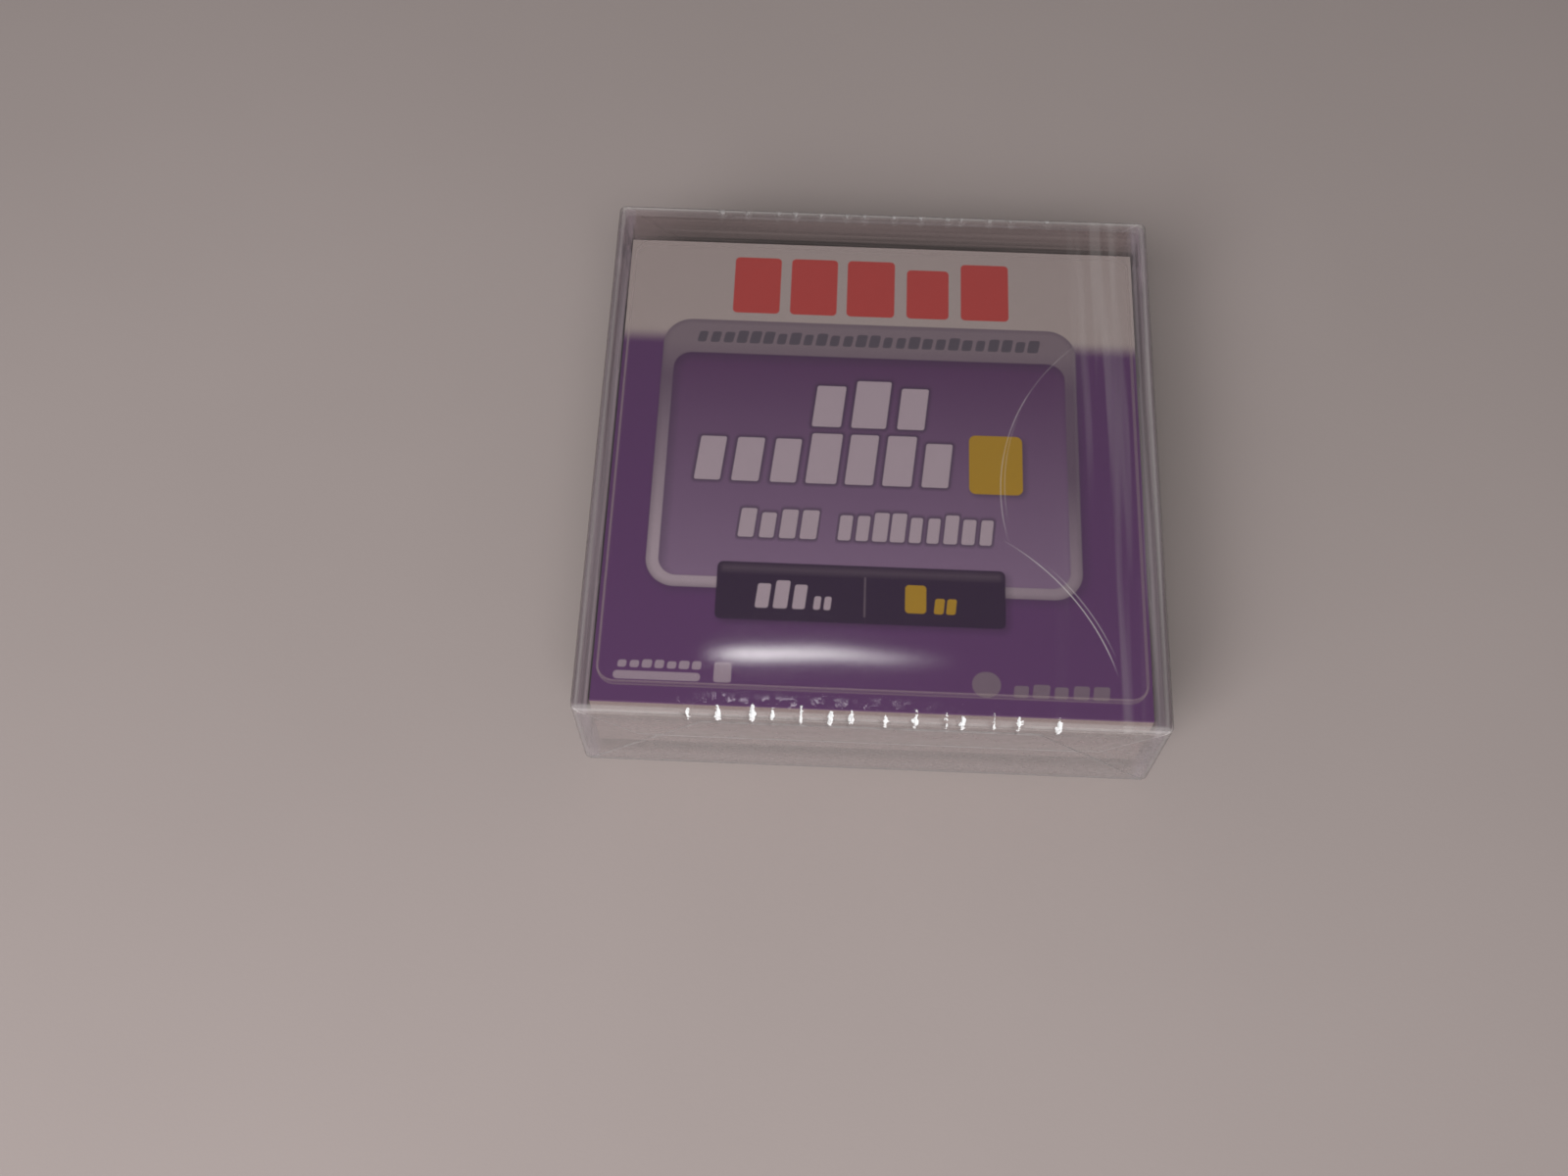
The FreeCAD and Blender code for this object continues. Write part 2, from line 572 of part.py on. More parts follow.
def case_lid():
    """Flat lid with a raised panel, a skirt outside the base's lip and hinge cheeks at the back."""
    body = soften(slab(CASE_W, CASE_D, CORNER, REAR_PARTING_Z + EAR_GAP, CASE_H), CASE_EDGE, CASE_H)
    body = body.cut(slab(CASE_W - 2 * LID_WALL, CASE_D - 2 * LID_WALL, CORNER - LID_WALL, 0, PLATE_UNDER))
    ear_clear = EAR_R + EAR_GAP
    below_rim = box(-SIDE, SIDE, FRONT, HINGE_Y, 0, PARTING_Z + MOULD_FIT)
    ear_room = rod_x(ear_clear, -SIDE, SIDE, HINGE_Y, HINGE_Z)
    ear_room = ear_room.fuse(box(-SIDE, SIDE, HINGE_Y - ear_clear, HINGE_Y + ear_clear, 0, HINGE_Z))
    body = body.cut([below_rim, ear_room])
    panel_w = CASE_W - 2 * PANEL_SIDE
    panel_d = CASE_D - PANEL_FRONT - PANEL_BACK
    panel_y = (PANEL_FRONT - PANEL_BACK) / 2
    panel = slab(panel_w, panel_d, PANEL_CORNER, CASE_H, CASE_H + PANEL_STEP, panel_y)
    panel = soften(panel, PANEL_STEP / 2, CASE_H + PANEL_STEP)
    mark = rod(GATE_MARK_R, CASE_H, CASE_H + GATE_MARK_RISE, SIDE - GATE_MARK_SIDE, FRONT + GATE_MARK_FRONT)
    inner_skirt = box(-SIDE, SIDE, FRONT + LID_WALL / 2, FRONT + CORNER, PARTING_Z, PLATE_UNDER)
    bead = snap(SNAP_BEAD_R).common(inner_skirt)
    return body.fuse([panel, mark, bead] + both_sides(hinge_cheek()) + card_tabs()).removeSplitter()


def insert_card():
    """One sheet: the panel under the lid and the spine folded down at the front."""
    top = PLATE_UNDER
    outline = [(CARD_FRONT_Y, SPINE_Z), (CARD_FRONT_Y, top), (CARD_BACK_Y, top), (CARD_BACK_Y, top - CARD),
               (CARD_FRONT_Y + CARD, top - CARD), (CARD_FRONT_Y + CARD, SPINE_Z)]
    sheet = prism_x(outline, -CARD_HALF, CARD_HALF)
    outer_fold = [e for e in sheet.Edges if is_fold(e, CARD_FRONT_Y, top)]
    sheet = sheet.makeFillet(CARD_FOLD_R, outer_fold)
    inner_fold = [e for e in sheet.Edges if is_fold(e, CARD_FRONT_Y + CARD, top - CARD)]
    return sheet.makeFillet(CARD_FOLD_R - CARD, inner_fold)


def is_fold(edge, y, z):
    middle = edge.BoundBox.Center
    return edge.BoundBox.XLength > CARD_HALF and abs(middle.y - y) < 1e-3 and abs(middle.z - z) < 1e-3


# ---- cartridge shells ----

def shell_shared(z0, z1):
    """Cuts and walls that both shells have, between the levels z0 and z1 of their inside."""
    door_room = box(GROOVE_IN_X, CART_W / 2 - DOOR_WALL, GROOVE_START_Y, INSIDE_Y,
                    SHELL_FLOOR - GROOVE_DEPTH, ROOF + GROOVE_DEPTH)
    doorway = box(DOOR_IN_X, CART_W, DOOR_START_Y + DOOR_LAP, DOOR_END_Y - DOOR_LAP, SHELL_FLOOR, ROOF)
    cuts = [door_room, doorway]
    label_z1 = CART_H - LABEL_MARGIN_Z
    cuts.append(box(LABEL_LEFT - CART_W / 2, CART_W / 2 - LABEL_RIGHT, LABEL_FACE, LABEL_FACE + LABEL_DEPTH,
                    LABEL_MARGIN_Z, label_z1))
    for i in range(GRIP_COUNT):
        y = LABEL_FACE + GRIP_START + i * GRIP_PITCH
        cuts += both_sides(box(CART_W / 2 - GRIP_DEPTH, CART_W / 2, y, y + GRIP_WIDTH,
                               GRIP_MARGIN_Z, CART_H - GRIP_MARGIN_Z))
    guard = ring(REEL_R + GUARD_GAP, REEL_R + GUARD_GAP + GUARD_THICK, z0, z1)
    walls = []
    for sx, sy in ((-1, -1), (1, -1), (-1, 1)):
        xs = sorted((sx * (INSIDE_X - GUARD_REACH), sx * INSIDE_X))
        ys = sorted((sy * (INSIDE_Y - GUARD_REACH), sy * INSIDE_Y))
        walls.append(guard.common(box(xs[0], xs[1], ys[0], ys[1], z0, z1)))
    return cuts, walls


def pin_pocket(z0, z1):
    """Round pocket wall for one end of the leader pin, open towards the door and to the retainer."""
    wall = ring(POCKET_R, POCKET_R + POCKET_WALL, z0, z1, PIN_X, PIN_Y)
    way_out = box(PIN_X, PIN_X + 2 * POCKET_R, PIN_Y - POCKET_R, PIN_Y + POCKET_R, z0, z1)
    tongue_end = RETAINER_Y + RETAINER_WIDTH
    tongue_room = box(RETAINER_X, PIN_X, RETAINER_Y - RETAINER, tongue_end + RETAINER, z0, z1)
    return wall.cut([way_out, tongue_room])


def retainer_stop(z0, z1):
    x = RETAINER_X - CLIP_FIT
    return box(x - RETAINER_STOP, x, RETAINER_Y, RETAINER_Y + RETAINER_WIDTH, z0, z1)


def chip_rib(x):
    """Wedge rib whose 45 degree face carries the memory chip."""
    rise = INSIDE_Y - CHIP_SEAT_START
    outline = [(CHIP_SEAT_START, SHELL_FLOOR), (INSIDE_Y, SHELL_FLOOR), (INSIDE_Y, SHELL_FLOOR + rise)]
    return prism_x(outline, x - CHIP_RIB / 2, x + CHIP_RIB / 2)


def lower_shell():
    wall_y = LABEL_FACE + SHELL_SIDE
    shell = soften(slab(CART_W, CART_D, CART_CORNER, 0, SHELL_SPLIT), CART_EDGE, 0)
    shell = shell.cut(slab(2 * INSIDE_X, 2 * INSIDE_Y, CART_CORNER - SHELL_SIDE, SHELL_FLOOR, SHELL_SPLIT))
    cuts, walls = shell_shared(SHELL_FLOOR, SHELL_FLOOR + GUARD_RISE)
    walls.append(rod(DRIVE_HOLE_R + RIM_THICK, SHELL_FLOOR, SHELL_FLOOR + RIM_RISE))
    walls.append(pin_pocket(SHELL_FLOOR, SHELL_FLOOR + POCKET_RISE))
    walls.append(retainer_stop(SHELL_FLOOR, SHELL_FLOOR + RETAINER_STOP_RISE))
    walls.append(box(SPRING_CENTRE_X - SPRING_STOP_HALF, SPRING_CENTRE_X + SPRING_STOP_HALF,
                     SPRING_STOP_Y - SPRING_STOP_THICK, SPRING_STOP_Y, SHELL_FLOOR,
                     SHELL_FLOOR + SPRING_STOP_RISE))
    half_span = CHIP_LENGTH / 2 - CHIP_RIB_INSET
    walls += [chip_rib(CHIP_X - half_span), chip_rib(CHIP_X + half_span)]
    guide_y = wall_y + SWITCH_FIT + SWITCH_THICK + SWITCH_GUIDE_GAP
    walls.append(box(-INSIDE_X, WINDOW_END_X + SWITCH_LENGTH / 2, guide_y, guide_y + SWITCH_GUIDE,
                     SHELL_FLOOR, SHELL_FLOOR + SWITCH_GUIDE_RISE))
    for x, y in SCREWS:
        walls.append(rod(POST_R, SHELL_FLOOR, SHELL_SPLIT, x, y))
        walls.append(rod(POST_FOOT_R, SHELL_FLOOR, SHELL_FLOOR + POST_FOOT_RISE, x, y))
        cuts.append(rod(SCREW_R + SCREW_FIT, 0, SHELL_SPLIT, x, y))
        cuts.append(rod(SCREW_HEAD_R + HEAD_FIT, 0, SCREW_SINK + SCREW_HEAD, x, y))
    cuts.append(rod(DRIVE_HOLE_R, 0, SHELL_SPLIT))
    cuts.append(box(WINDOW_X, WINDOW_END_X, LABEL_FACE, wall_y, NUB_Z[0] - NUB_FIT, NUB_Z[1] + NUB_FIT))
    return shell.fuse(walls).cut(cuts + locators()).removeSplitter()


def locators():
    """Round locating hole on the left of the underside and a slotted one on the right."""
    x = CART_W / 2 - LOCATOR_SIDE
    y = LABEL_FACE + LOCATOR_FRONT
    half = LOCATOR_SLOT / 2
    ends = [rod(LOCATOR_R, 0, LOCATOR_DEPTH, place, y) for place in (-x, x - half, x + half)]
    return ends + [box(x - half, x + half, y - LOCATOR_R, y + LOCATOR_R, 0, LOCATOR_DEPTH)]


def brake_key():
    """Cross-shaped guide under the roof that the brake button slides on."""
    half_l = KEY_LENGTH / 2
    half_w = KEY_WIDTH / 2
    z0 = BRAKE_TOP + BRAKE_LIFT + KEY_END_GAP
    blade = box(-half_l, half_l, -half_w, half_w, z0, ROOF)
    return blade.fuse(spun(blade, 90))


def upper_shell():
    wall_y = LABEL_FACE + SHELL_SIDE
    shell = soften(slab(CART_W, CART_D, CART_CORNER, SHELL_SPLIT, CART_H), CART_EDGE, CART_H)
    shell = shell.cut(slab(2 * INSIDE_X, 2 * INSIDE_Y, CART_CORNER - SHELL_SIDE, SHELL_SPLIT, ROOF))
    cuts, walls = shell_shared(ROOF - GUARD_RISE, ROOF)
    walls.append(brake_key())
    walls.append(pin_pocket(ROOF - POCKET_RISE, ROOF))
    walls.append(retainer_stop(ROOF - RETAINER_STOP_RISE, ROOF))
    cap_z = SHELL_FLOOR + SWITCH_LIFT + SWITCH_RISE + SWITCH_CAP
    cap_y = wall_y + SWITCH_FIT + SWITCH_THICK / 2
    walls.append(box(WINDOW_X, WINDOW_END_X, wall_y, cap_y, SHELL_SPLIT, SHELL_SPLIT + 2 * RIB))
    walls.append(box(WINDOW_X, WINDOW_END_X, wall_y + SWITCH_FIT, cap_y, cap_z, SHELL_SPLIT))
    for x, y in SCREWS:
        walls.append(rod(POST_R, SHELL_SPLIT, ROOF, x, y))
        cuts.append(rod(SCREW_R + SCREW_FIT, SHELL_SPLIT, SCREW_TIP_Z + SCREW_FIT, x, y))
    recess_z = CART_H - TOP_RECESS_DEPTH
    recess_d = CART_D - TOP_RECESS_FRONT - TOP_RECESS_BACK
    recess_y = (TOP_RECESS_FRONT - TOP_RECESS_BACK) / 2
    cuts.append(slab(CART_W - 2 * TOP_RECESS_SIDE, recess_d, CART_CORNER, recess_z, CART_H, recess_y))
    return shell.fuse(walls).cut(cuts).removeSplitter()


def shell_screw(x, y):
    """Pan-head screw driven up from the underside, with a cross recess."""
    seat = SCREW_SINK + SCREW_HEAD
    screw = rod(SCREW_HEAD_R, SCREW_SINK, seat, x, y).fuse(rod(SCREW_R, seat, seat + SCREW_LENGTH, x, y))
    half = SCREW_CROSS / 2
    width = SCREW_CROSS_WIDTH / 2
    top = SCREW_SINK + SCREW_CROSS_DEPTH
    slots = [box(x - half, x + half, y - width, y + width, SCREW_SINK, top),
             box(x - width, x + width, y - half, y + half, SCREW_SINK, top)]
    return screw.cut(slots)


# ---- reel and brake ----

def leg_places():
    return [spun(Part.Vertex(V(SPIDER_LEG_AT, 0, 0)), 120 * i).Point for i in range(3)]


def reel_hub():
    """Hub and lower flange in one, with drive teeth below and brake teeth inside."""
    edge = REEL_Z + FLANGE_TAPER
    outline = [(0, BOSS_Z), (HUB_BOSS_R, BOSS_Z), (HUB_BOSS_R, REEL_Z), (HUB_R, REEL_Z), (REEL_R, edge),
               (REEL_R, HUB_FLOOR), (HUB_R, HUB_FLOOR), (HUB_R, UPPER_FLANGE_Z), (HUB_STEP_R, UPPER_FLANGE_Z),
               (HUB_STEP_R, UPPER_FLANGE_Z + FLANGE), (HUB_BORE_R, UPPER_FLANGE_Z + FLANGE),
               (HUB_BORE_R, HUB_FLOOR), (0, HUB_FLOOR)]
    teeth = radial_teeth(DRIVE_TEETH, DRIVE_TEETH_IN, DRIVE_TEETH_OUT, BOSS_Z, -DRIVE_TOOTH,
                         DRIVE_TOOTH_ROOT, DRIVE_TOOTH_TIP)
    teeth += radial_teeth(BRAKE_TEETH, BRAKE_TEETH_IN, BRAKE_TEETH_OUT, HUB_FLOOR, BRAKE_TOOTH,
                          TOOTH_ROOT, TOOTH_TIP)
    hub = turned(outline).fuse(teeth)
    leg_hole_r = SPIDER_LEG_R + SPIDER_LEG_FIT
    holes = [rod(leg_hole_r, BOSS_Z - DRIVE_TOOTH, HUB_FLOOR, p.x, p.y) for p in leg_places()]
    seat = rod(CLUTCH_R + CLUTCH_FIT, BOSS_Z, BOSS_Z + CLUTCH_SINK)
    return hub.cut(holes + [seat])


def reel_upper_flange():
    top = UPPER_FLANGE_Z + FLANGE
    inner = HUB_STEP_R + WELD_FIT
    return turned([(inner, UPPER_FLANGE_Z), (REEL_R, UPPER_FLANGE_Z), (REEL_R, top - FLANGE_TAPER),
                   (HUB_R, top), (inner, top)])


def tape_pack():
    return ring(HUB_R + PACK_FIT, TAPE_R, TAPE_Z, TAPE_Z + TAPE_WIDTH)


def clutch_plate():
    top = BOSS_Z + CLUTCH_SINK
    return ring(CLUTCH_HOLE_R, CLUTCH_R, top - CLUTCH, top)


def brake_button():
    """Toothed disc that locks the reel, with a socket that rides on the shell's cross-shaped guide."""
    outline = [(0, BRAKE_UNDER), (BRAKE_RIM_IN, BRAKE_UNDER), (BRAKE_RIM_IN, BRAKE_ROOT),
               (BRAKE_R, BRAKE_ROOT), (BRAKE_R, BRAKE_TOP), (SOCKET_R, BRAKE_TOP),
               (SOCKET_R, BRAKE_TOP + SOCKET_RISE), (0, BRAKE_TOP + SOCKET_RISE)]
    teeth = radial_teeth(BRAKE_TEETH, BRAKE_TEETH_IN, BRAKE_TEETH_OUT, BRAKE_ROOT, -BRAKE_TOOTH,
                         TOOTH_ROOT, TOOTH_TIP, 0.5)
    half_l = KEY_LENGTH / 2 + KEY_FIT
    half_w = KEY_WIDTH / 2 + KEY_FIT
    slot = box(-half_l, half_l, -half_w, half_w, BRAKE_TOP, BRAKE_TOP + SOCKET_RISE)
    keyway = slot.fuse(spun(slot, 90))
    return turned(outline).fuse(teeth).cut(keyway)


def brake_spring():
    length = ROOF - BRAKE_TOP - 2 * SPRING_SEAT_GAP
    spring = coil(BRAKE_SPRING_R, BRAKE_SPRING_WIRE, length, BRAKE_SPRING_TURNS)
    spring.translate(V(0, 0, BRAKE_TOP + SPRING_SEAT_GAP))
    return spring


def release_spider():
    """Three-armed plate whose legs pass through the hub and lift the brake off its teeth."""
    z0 = HUB_FLOOR + SPIDER_GAP
    z1 = z0 + SPIDER
    spider = rod(SPIDER_R, z0, z1).fuse(rod(SPIDER_DOME_R, z1, BRAKE_UNDER - SPIDER_PLAY))
    arm = box(0, SPIDER_LEG_AT, -SPIDER_ARM / 2, SPIDER_ARM / 2, z0, z1)
    leg = rod(SPIDER_LEG_R, BOSS_Z - SPIDER_LEG_DROP, z1, SPIDER_LEG_AT, 0)
    limbs = [spun(limb, 120 * i) for limb in (arm, leg) for i in range(3)]
    return spider.fuse(limbs).removeSplitter()


# ---- door, pin, chip and switch ----

def access_door():
    """Sliding door in its grooves, with the boss and spigot that its spring pushes."""
    z0 = SHELL_FLOOR - GROOVE_DEPTH + DOOR_STOP_GAP
    z1 = ROOF + GROOVE_DEPTH - DOOR_STOP_GAP
    plate = box(DOOR_IN_X, DOOR_OUT_X, DOOR_START_Y, DOOR_END_Y, z0, z1)
    notch_y = DOOR_END_Y - DOOR_LAP - DOOR_NOTCH_INSET
    notch = box(DOOR_OUT_X - DOOR_NOTCH, DOOR_OUT_X, notch_y, notch_y + DOOR_NOTCH_WIDTH,
                SHELL_FLOOR + DOOR_NOTCH_MARGIN, ROOF - DOOR_NOTCH_MARGIN)
    boss = box(SPRING_CENTRE_X - BOSS_HALF, DOOR_IN_X, BOSS_Y, BOSS_Y + BOSS_THICK,
               SPRING_CENTRE_Z - BOSS_HALF, SPRING_CENTRE_Z + BOSS_HALF)
    spigot = Part.makeCylinder(SPIGOT_R, SPIGOT, V(SPRING_CENTRE_X, BOSS_Y, SPRING_CENTRE_Z), V(0, -1, 0))
    return plate.cut(notch).fuse([boss, spigot]).removeSplitter()


def door_spring():
    length = BOSS_Y - SPRING_STOP_Y - 2 * SPRING_SEAT_GAP
    spring = coil(DOOR_SPRING_R, DOOR_SPRING_WIRE, length, DOOR_SPRING_TURNS)
    spring.rotate(V(0, 0, 0), V(1, 0, 0), -90)
    spring.translate(V(SPRING_CENTRE_X, SPRING_STOP_Y + SPRING_SEAT_GAP, SPRING_CENTRE_Z))
    return spring


def leader_pin():
    low, high = PIN_Z
    discs = [rod(PIN_DISC_R, z, z + PIN_DISC, PIN_X, PIN_Y) for z in (low, high - PIN_DISC)]
    return rod(PIN_R, low, high, PIN_X, PIN_Y).fuse(discs).removeSplitter()


def leader_span():
    """Radius the leader is laid to, its tangent point's angle on the pack, and its direction there."""
    radius = TAPE_R + LEADER_GAP
    distance = math.hypot(PIN_X, PIN_Y)
    angle = math.atan2(PIN_Y, PIN_X) + math.acos(radius / distance)
    return radius, angle


def leader_tape():
    """Leader from the pin to the reel, straight to the pack and then along its outer turn."""
    radius, angle = leader_span()
    z0 = TAPE_Z + LEADER_EDGE
    height = TAPE_WIDTH - 2 * LEADER_EDGE
    edges = []
    for r in (radius, radius + LEADER):
        start = V(r * math.cos(angle), r * math.sin(angle), z0)
        middle_at = angle + math.radians(LEADER_WRAP / 2)
        end_at = angle + math.radians(LEADER_WRAP)
        middle = V(r * math.cos(middle_at), r * math.sin(middle_at), z0)
        end = V(r * math.cos(end_at), r * math.sin(end_at), z0)
        run = math.sqrt(math.hypot(PIN_X, PIN_Y) ** 2 - radius ** 2) - PIN_R - CLIP_FIT
        along = V(math.sin(angle), -math.cos(angle), 0)
        edges.append((start + along * run, start, middle, end))
    inner, outer = edges
    outline = Part.Wire([
        Part.LineSegment(inner[0], inner[1]).toShape(),
        Part.Arc(inner[1], inner[2], inner[3]).toShape(),
        Part.LineSegment(inner[3], outer[3]).toShape(),
        Part.Arc(outer[3], outer[2], outer[1]).toShape(),
        Part.LineSegment(outer[1], outer[0]).toShape(),
        Part.LineSegment(outer[0], inner[0]).toShape(),
    ])
    return Part.Face(outline).extrude(V(0, 0, height))


def pin_clip():
    """Sleeve snapped over the pin, slit where the leader enters."""
    z0 = TAPE_Z + LEADER_EDGE
    z1 = TAPE_Z + TAPE_WIDTH - LEADER_EDGE
    inner = PIN_R + CLIP_FIT
    sleeve = ring(inner, inner + CLIP_THICK, z0, z1, PIN_X, PIN_Y)
    radius, angle = leader_span()
    slit = box(-3 * PIN_R, 0, -CLIP_SLOT / 2, CLIP_SLOT / 2, z0, z1)
    slit.rotate(V(0, 0, 0), V(0, 0, 1), math.degrees(angle) - 90)
    slit.translate(V(PIN_X, PIN_Y, 0))
    return sleeve.cut(slit)


def pin_retainer():
    """Leaf spring bent to a C, its two tongues against the ends of the pin."""
    low = SHELL_FLOOR + RETAINER_END
    high = ROOF - RETAINER_END
    tip = RETAINER_X + RETAINER_TONGUE
    face = RETAINER_X + RETAINER
    outline = [(RETAINER_X, low), (tip, low), (tip, low + RETAINER), (face, low + RETAINER),
               (face, high - RETAINER), (tip, high - RETAINER), (tip, high), (RETAINER_X, high)]
    return prism_y(outline, RETAINER_Y, RETAINER_Y + RETAINER_WIDTH)


def memory_chip():
    """Flat module lying on its 45 degree ribs."""
    half = CHIP_LENGTH / 2
    chip = box(CHIP_X - half, CHIP_X + half, CHIP_LIFT, CHIP_LIFT + CHIP_WIDTH, 0, CHIP_THICK)
    chip.rotate(V(0, 0, 0), V(1, 0, 0), 45)
    chip.translate(V(0, CHIP_SEAT_START, SHELL_FLOOR))
    return chip


def write_protect_switch():
    """Slide behind the label face, with a grooved nub in the window."""
    inner_y = LABEL_FACE + SHELL_SIDE + SWITCH_FIT
    z0 = SHELL_FLOOR + SWITCH_LIFT
    nub_x = WINDOW_X + NUB_FIT
    plate_x = nub_x + (NUB_LENGTH - SWITCH_LENGTH) / 2
    plate = box(plate_x, plate_x + SWITCH_LENGTH, inner_y, inner_y + SWITCH_THICK, z0, z0 + SWITCH_RISE)
    face_y = LABEL_FACE + NUB_SINK
    nub = box(nub_x, nub_x + NUB_LENGTH, face_y, inner_y, NUB_Z[0], NUB_Z[1])
    gap = NUB_LENGTH / (2 * SWITCH_GROOVES + 1)
    grooves = [box(nub_x + (2 * i + 1) * gap, nub_x + (2 * i + 2) * gap, face_y, face_y + SWITCH_GROOVE,
                   NUB_Z[0], NUB_Z[1]) for i in range(SWITCH_GROOVES)]
    return plate.fuse(nub).cut(grooves).removeSplitter()


# ---- assembly ----

CASE_PLACE = V(0, 0, FILM)
CART_PLACE = V(0, CART_Y, FILM + CART_Z)


def parts():
    """Every node with the place its own frame is lifted to."""
    pieces = [
        ("overwrap_film", overwrap_film(), V(0, 0, 0)),
        ("case_base", case_base(), CASE_PLACE),
        ("case_lid", case_lid(), CASE_PLACE),
        ("insert_card", insert_card(), CASE_PLACE),
    ]
    cartridge = {
        "cartridge_lower_shell": lower_shell(),
        "cartridge_upper_shell": upper_shell(),
        "reel_hub": reel_hub(),
        "reel_upper_flange": reel_upper_flange(),
        "tape_pack": tape_pack(),
        "clutch_plate": clutch_plate(),
        "brake_button": brake_button(),
        "brake_spring": brake_spring(),
        "release_spider": release_spider(),
        "access_door": access_door(),
        "door_spring": door_spring(),
        "leader_pin": leader_pin(),
        "pin_tape_clip": pin_clip(),
        "leader_tape": leader_tape(),
        "pin_retainer": pin_retainer(),
        "memory_chip": memory_chip(),
        "write_protect_switch": write_protect_switch(),
    }
    for number, (x, y) in enumerate(SCREWS, 1):
        cartridge["shell_screw_%d" % number] = shell_screw(x, y)
    pieces += [(name, shape, CART_PLACE) for name, shape in cartridge.items()]
    return pieces


def main():
    os.makedirs("parts", exist_ok=True)
    for name, shape, place in parts():
        shape.translate(place)
        shape.exportStep("parts/%s.step" % name)
        print(name, "solids", len(shape.Solids), "volume", round(shape.Volume, 2), "valid", shape.isValid())


main()
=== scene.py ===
"""Looks for a half-inch data tape cartridge in its clear hinged case.

The case holds a printed card and is wrapped in clear film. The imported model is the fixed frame. This script
makes the overwrap film with its creases and end folds, gives the case, the card and every moulded part its
finish, and sets the stage.
"""

import math
import random

import bmesh
import bpy
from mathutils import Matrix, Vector


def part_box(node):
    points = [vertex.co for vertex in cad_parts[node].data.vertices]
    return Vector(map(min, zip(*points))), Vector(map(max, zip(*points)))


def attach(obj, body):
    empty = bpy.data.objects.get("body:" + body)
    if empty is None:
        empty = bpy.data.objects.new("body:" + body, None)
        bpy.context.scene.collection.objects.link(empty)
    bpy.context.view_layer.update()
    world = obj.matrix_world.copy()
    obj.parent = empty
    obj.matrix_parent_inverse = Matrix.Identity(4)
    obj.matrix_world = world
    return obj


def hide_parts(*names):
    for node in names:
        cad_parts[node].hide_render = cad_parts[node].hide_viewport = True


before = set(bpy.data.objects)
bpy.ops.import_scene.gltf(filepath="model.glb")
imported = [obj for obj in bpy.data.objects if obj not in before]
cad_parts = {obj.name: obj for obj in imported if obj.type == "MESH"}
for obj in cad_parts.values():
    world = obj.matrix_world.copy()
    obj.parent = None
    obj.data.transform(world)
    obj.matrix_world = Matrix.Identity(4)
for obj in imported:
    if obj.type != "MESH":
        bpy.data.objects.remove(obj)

bl_info = {
    "name": "Boxed Data Tape",
    "version": (1, 0, 0),
    "blender": (4, 5, 0),
    "location": "View3D > Sidebar > Tape Pack",
    "description": "Overwrap film, clear case, printed card and moulded finishes for a boxed data tape",
    "category": "Object",
}

MM = 0.001
TINY = 0.01 * MM
FILM_LOW, FILM_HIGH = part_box("overwrap_film")
CARD_LOW, CARD_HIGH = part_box("insert_card")
HUB_LOW, HUB_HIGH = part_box("reel_hub")
PLASTIC_IOR = 1.5
MIRROR = (0.95, 0.95, 0.95, 1.0)
LAMP_TINT = (0.98, 0.98, 0.98, 1.0)


# ---- values that a user would change ----

def size_value(name, description, millimetres):
    """A length that a user may change, given in mm and kept in metres."""
    return bpy.props.FloatProperty(
        name=name, description=description, default=millimetres * MM, unit="LENGTH", precision=5)


def tint_value(name, description, red, green, blue):
    """A colour that a user may change."""
    return bpy.props.FloatVectorProperty(
        name=name, description=description, default=(red, green, blue, 1.0), subtype="COLOR", size=4)


class WrapValues(bpy.types.PropertyGroup):
    thickness: size_value("Film thickness", "Thickness that one layer of film is drawn with", 0.12)
    corner: size_value("Corner radius", "Radius of the pack's upright corners", 1.3)
    edge: size_value("Edge radius", "Radius of the film along the top and bottom edges", 0.55)
    seam_low: size_value("Seam height", "Lower edge of the long seam on the left side", 7.0)
    seam_width: size_value("Seam width", "Lap of the long seam", 8.0)
    lower_fold: size_value("Lower fold", "Height of the end flap that is folded up last", 23.5)
    upper_fold: size_value("Upper fold", "Height of the end flap under it", 11.0)
    puckers: bpy.props.IntProperty(
        name="Puckers", description="Gathers along the front and back top edges", default=14)
    pucker_span: size_value("Pucker span", "Length of edge that is gathered", 74.0)
    pucker_depth: size_value("Pucker depth", "How far a gather sinks", 0.34)
    film_colour: tint_value("Film", "Colour that the film lets through", 0.97, 0.97, 0.97)
    haze: tint_value("Haze", "Milky parts of the film on top", 0.60, 0.56, 0.55)
    # Painted shade: the walls' milk is darker than the top's because less light falls on them.
    painted_shade_wall_haze: tint_value("Wall haze", "Milky parts of the film's walls", 0.31, 0.285, 0.285)
    # Painted highlight: near-white milk laid on the tops of the gathers as glints.
    painted_glint: tint_value("Glints", "Brightest parts of the gathers", 0.93, 0.93, 0.94)
    # Painted shade: colour of the thin dark line along the film's edges.
    painted_edge_shade: tint_value("Edge shade", "Thin dark line along the edges", 0.11, 0.085, 0.085)


class CaseValues(bpy.types.PropertyGroup):
    panel_side: size_value("Panel side", "From the lid's side to its raised panel", 4.2)
    panel_front: size_value("Panel front", "From the lid's front to its raised panel", 6.2)
    panel_back: size_value("Panel back", "From the lid's back to its raised panel", 8.6)
    panel_corner: size_value("Panel corner", "Corner radius of the raised panel", 3.5)
    clear: tint_value("Clear", "Colour that the case lets through", 0.975, 0.97, 0.975)
    rim_clear: tint_value("Clear rim", "Colour that it lets through round the card", 0.95, 0.905, 0.918)
    end_haze: tint_value("End haze", "Streaks at the front and back", 0.32, 0.25, 0.24)
    # Partly painted reflection: the side streaks are tinted pink like the card's purple print mirrored in the
    # walls.
    side_haze_and_reflection: tint_value("Side haze", "Streaks at the left and right", 0.40, 0.33, 0.37)


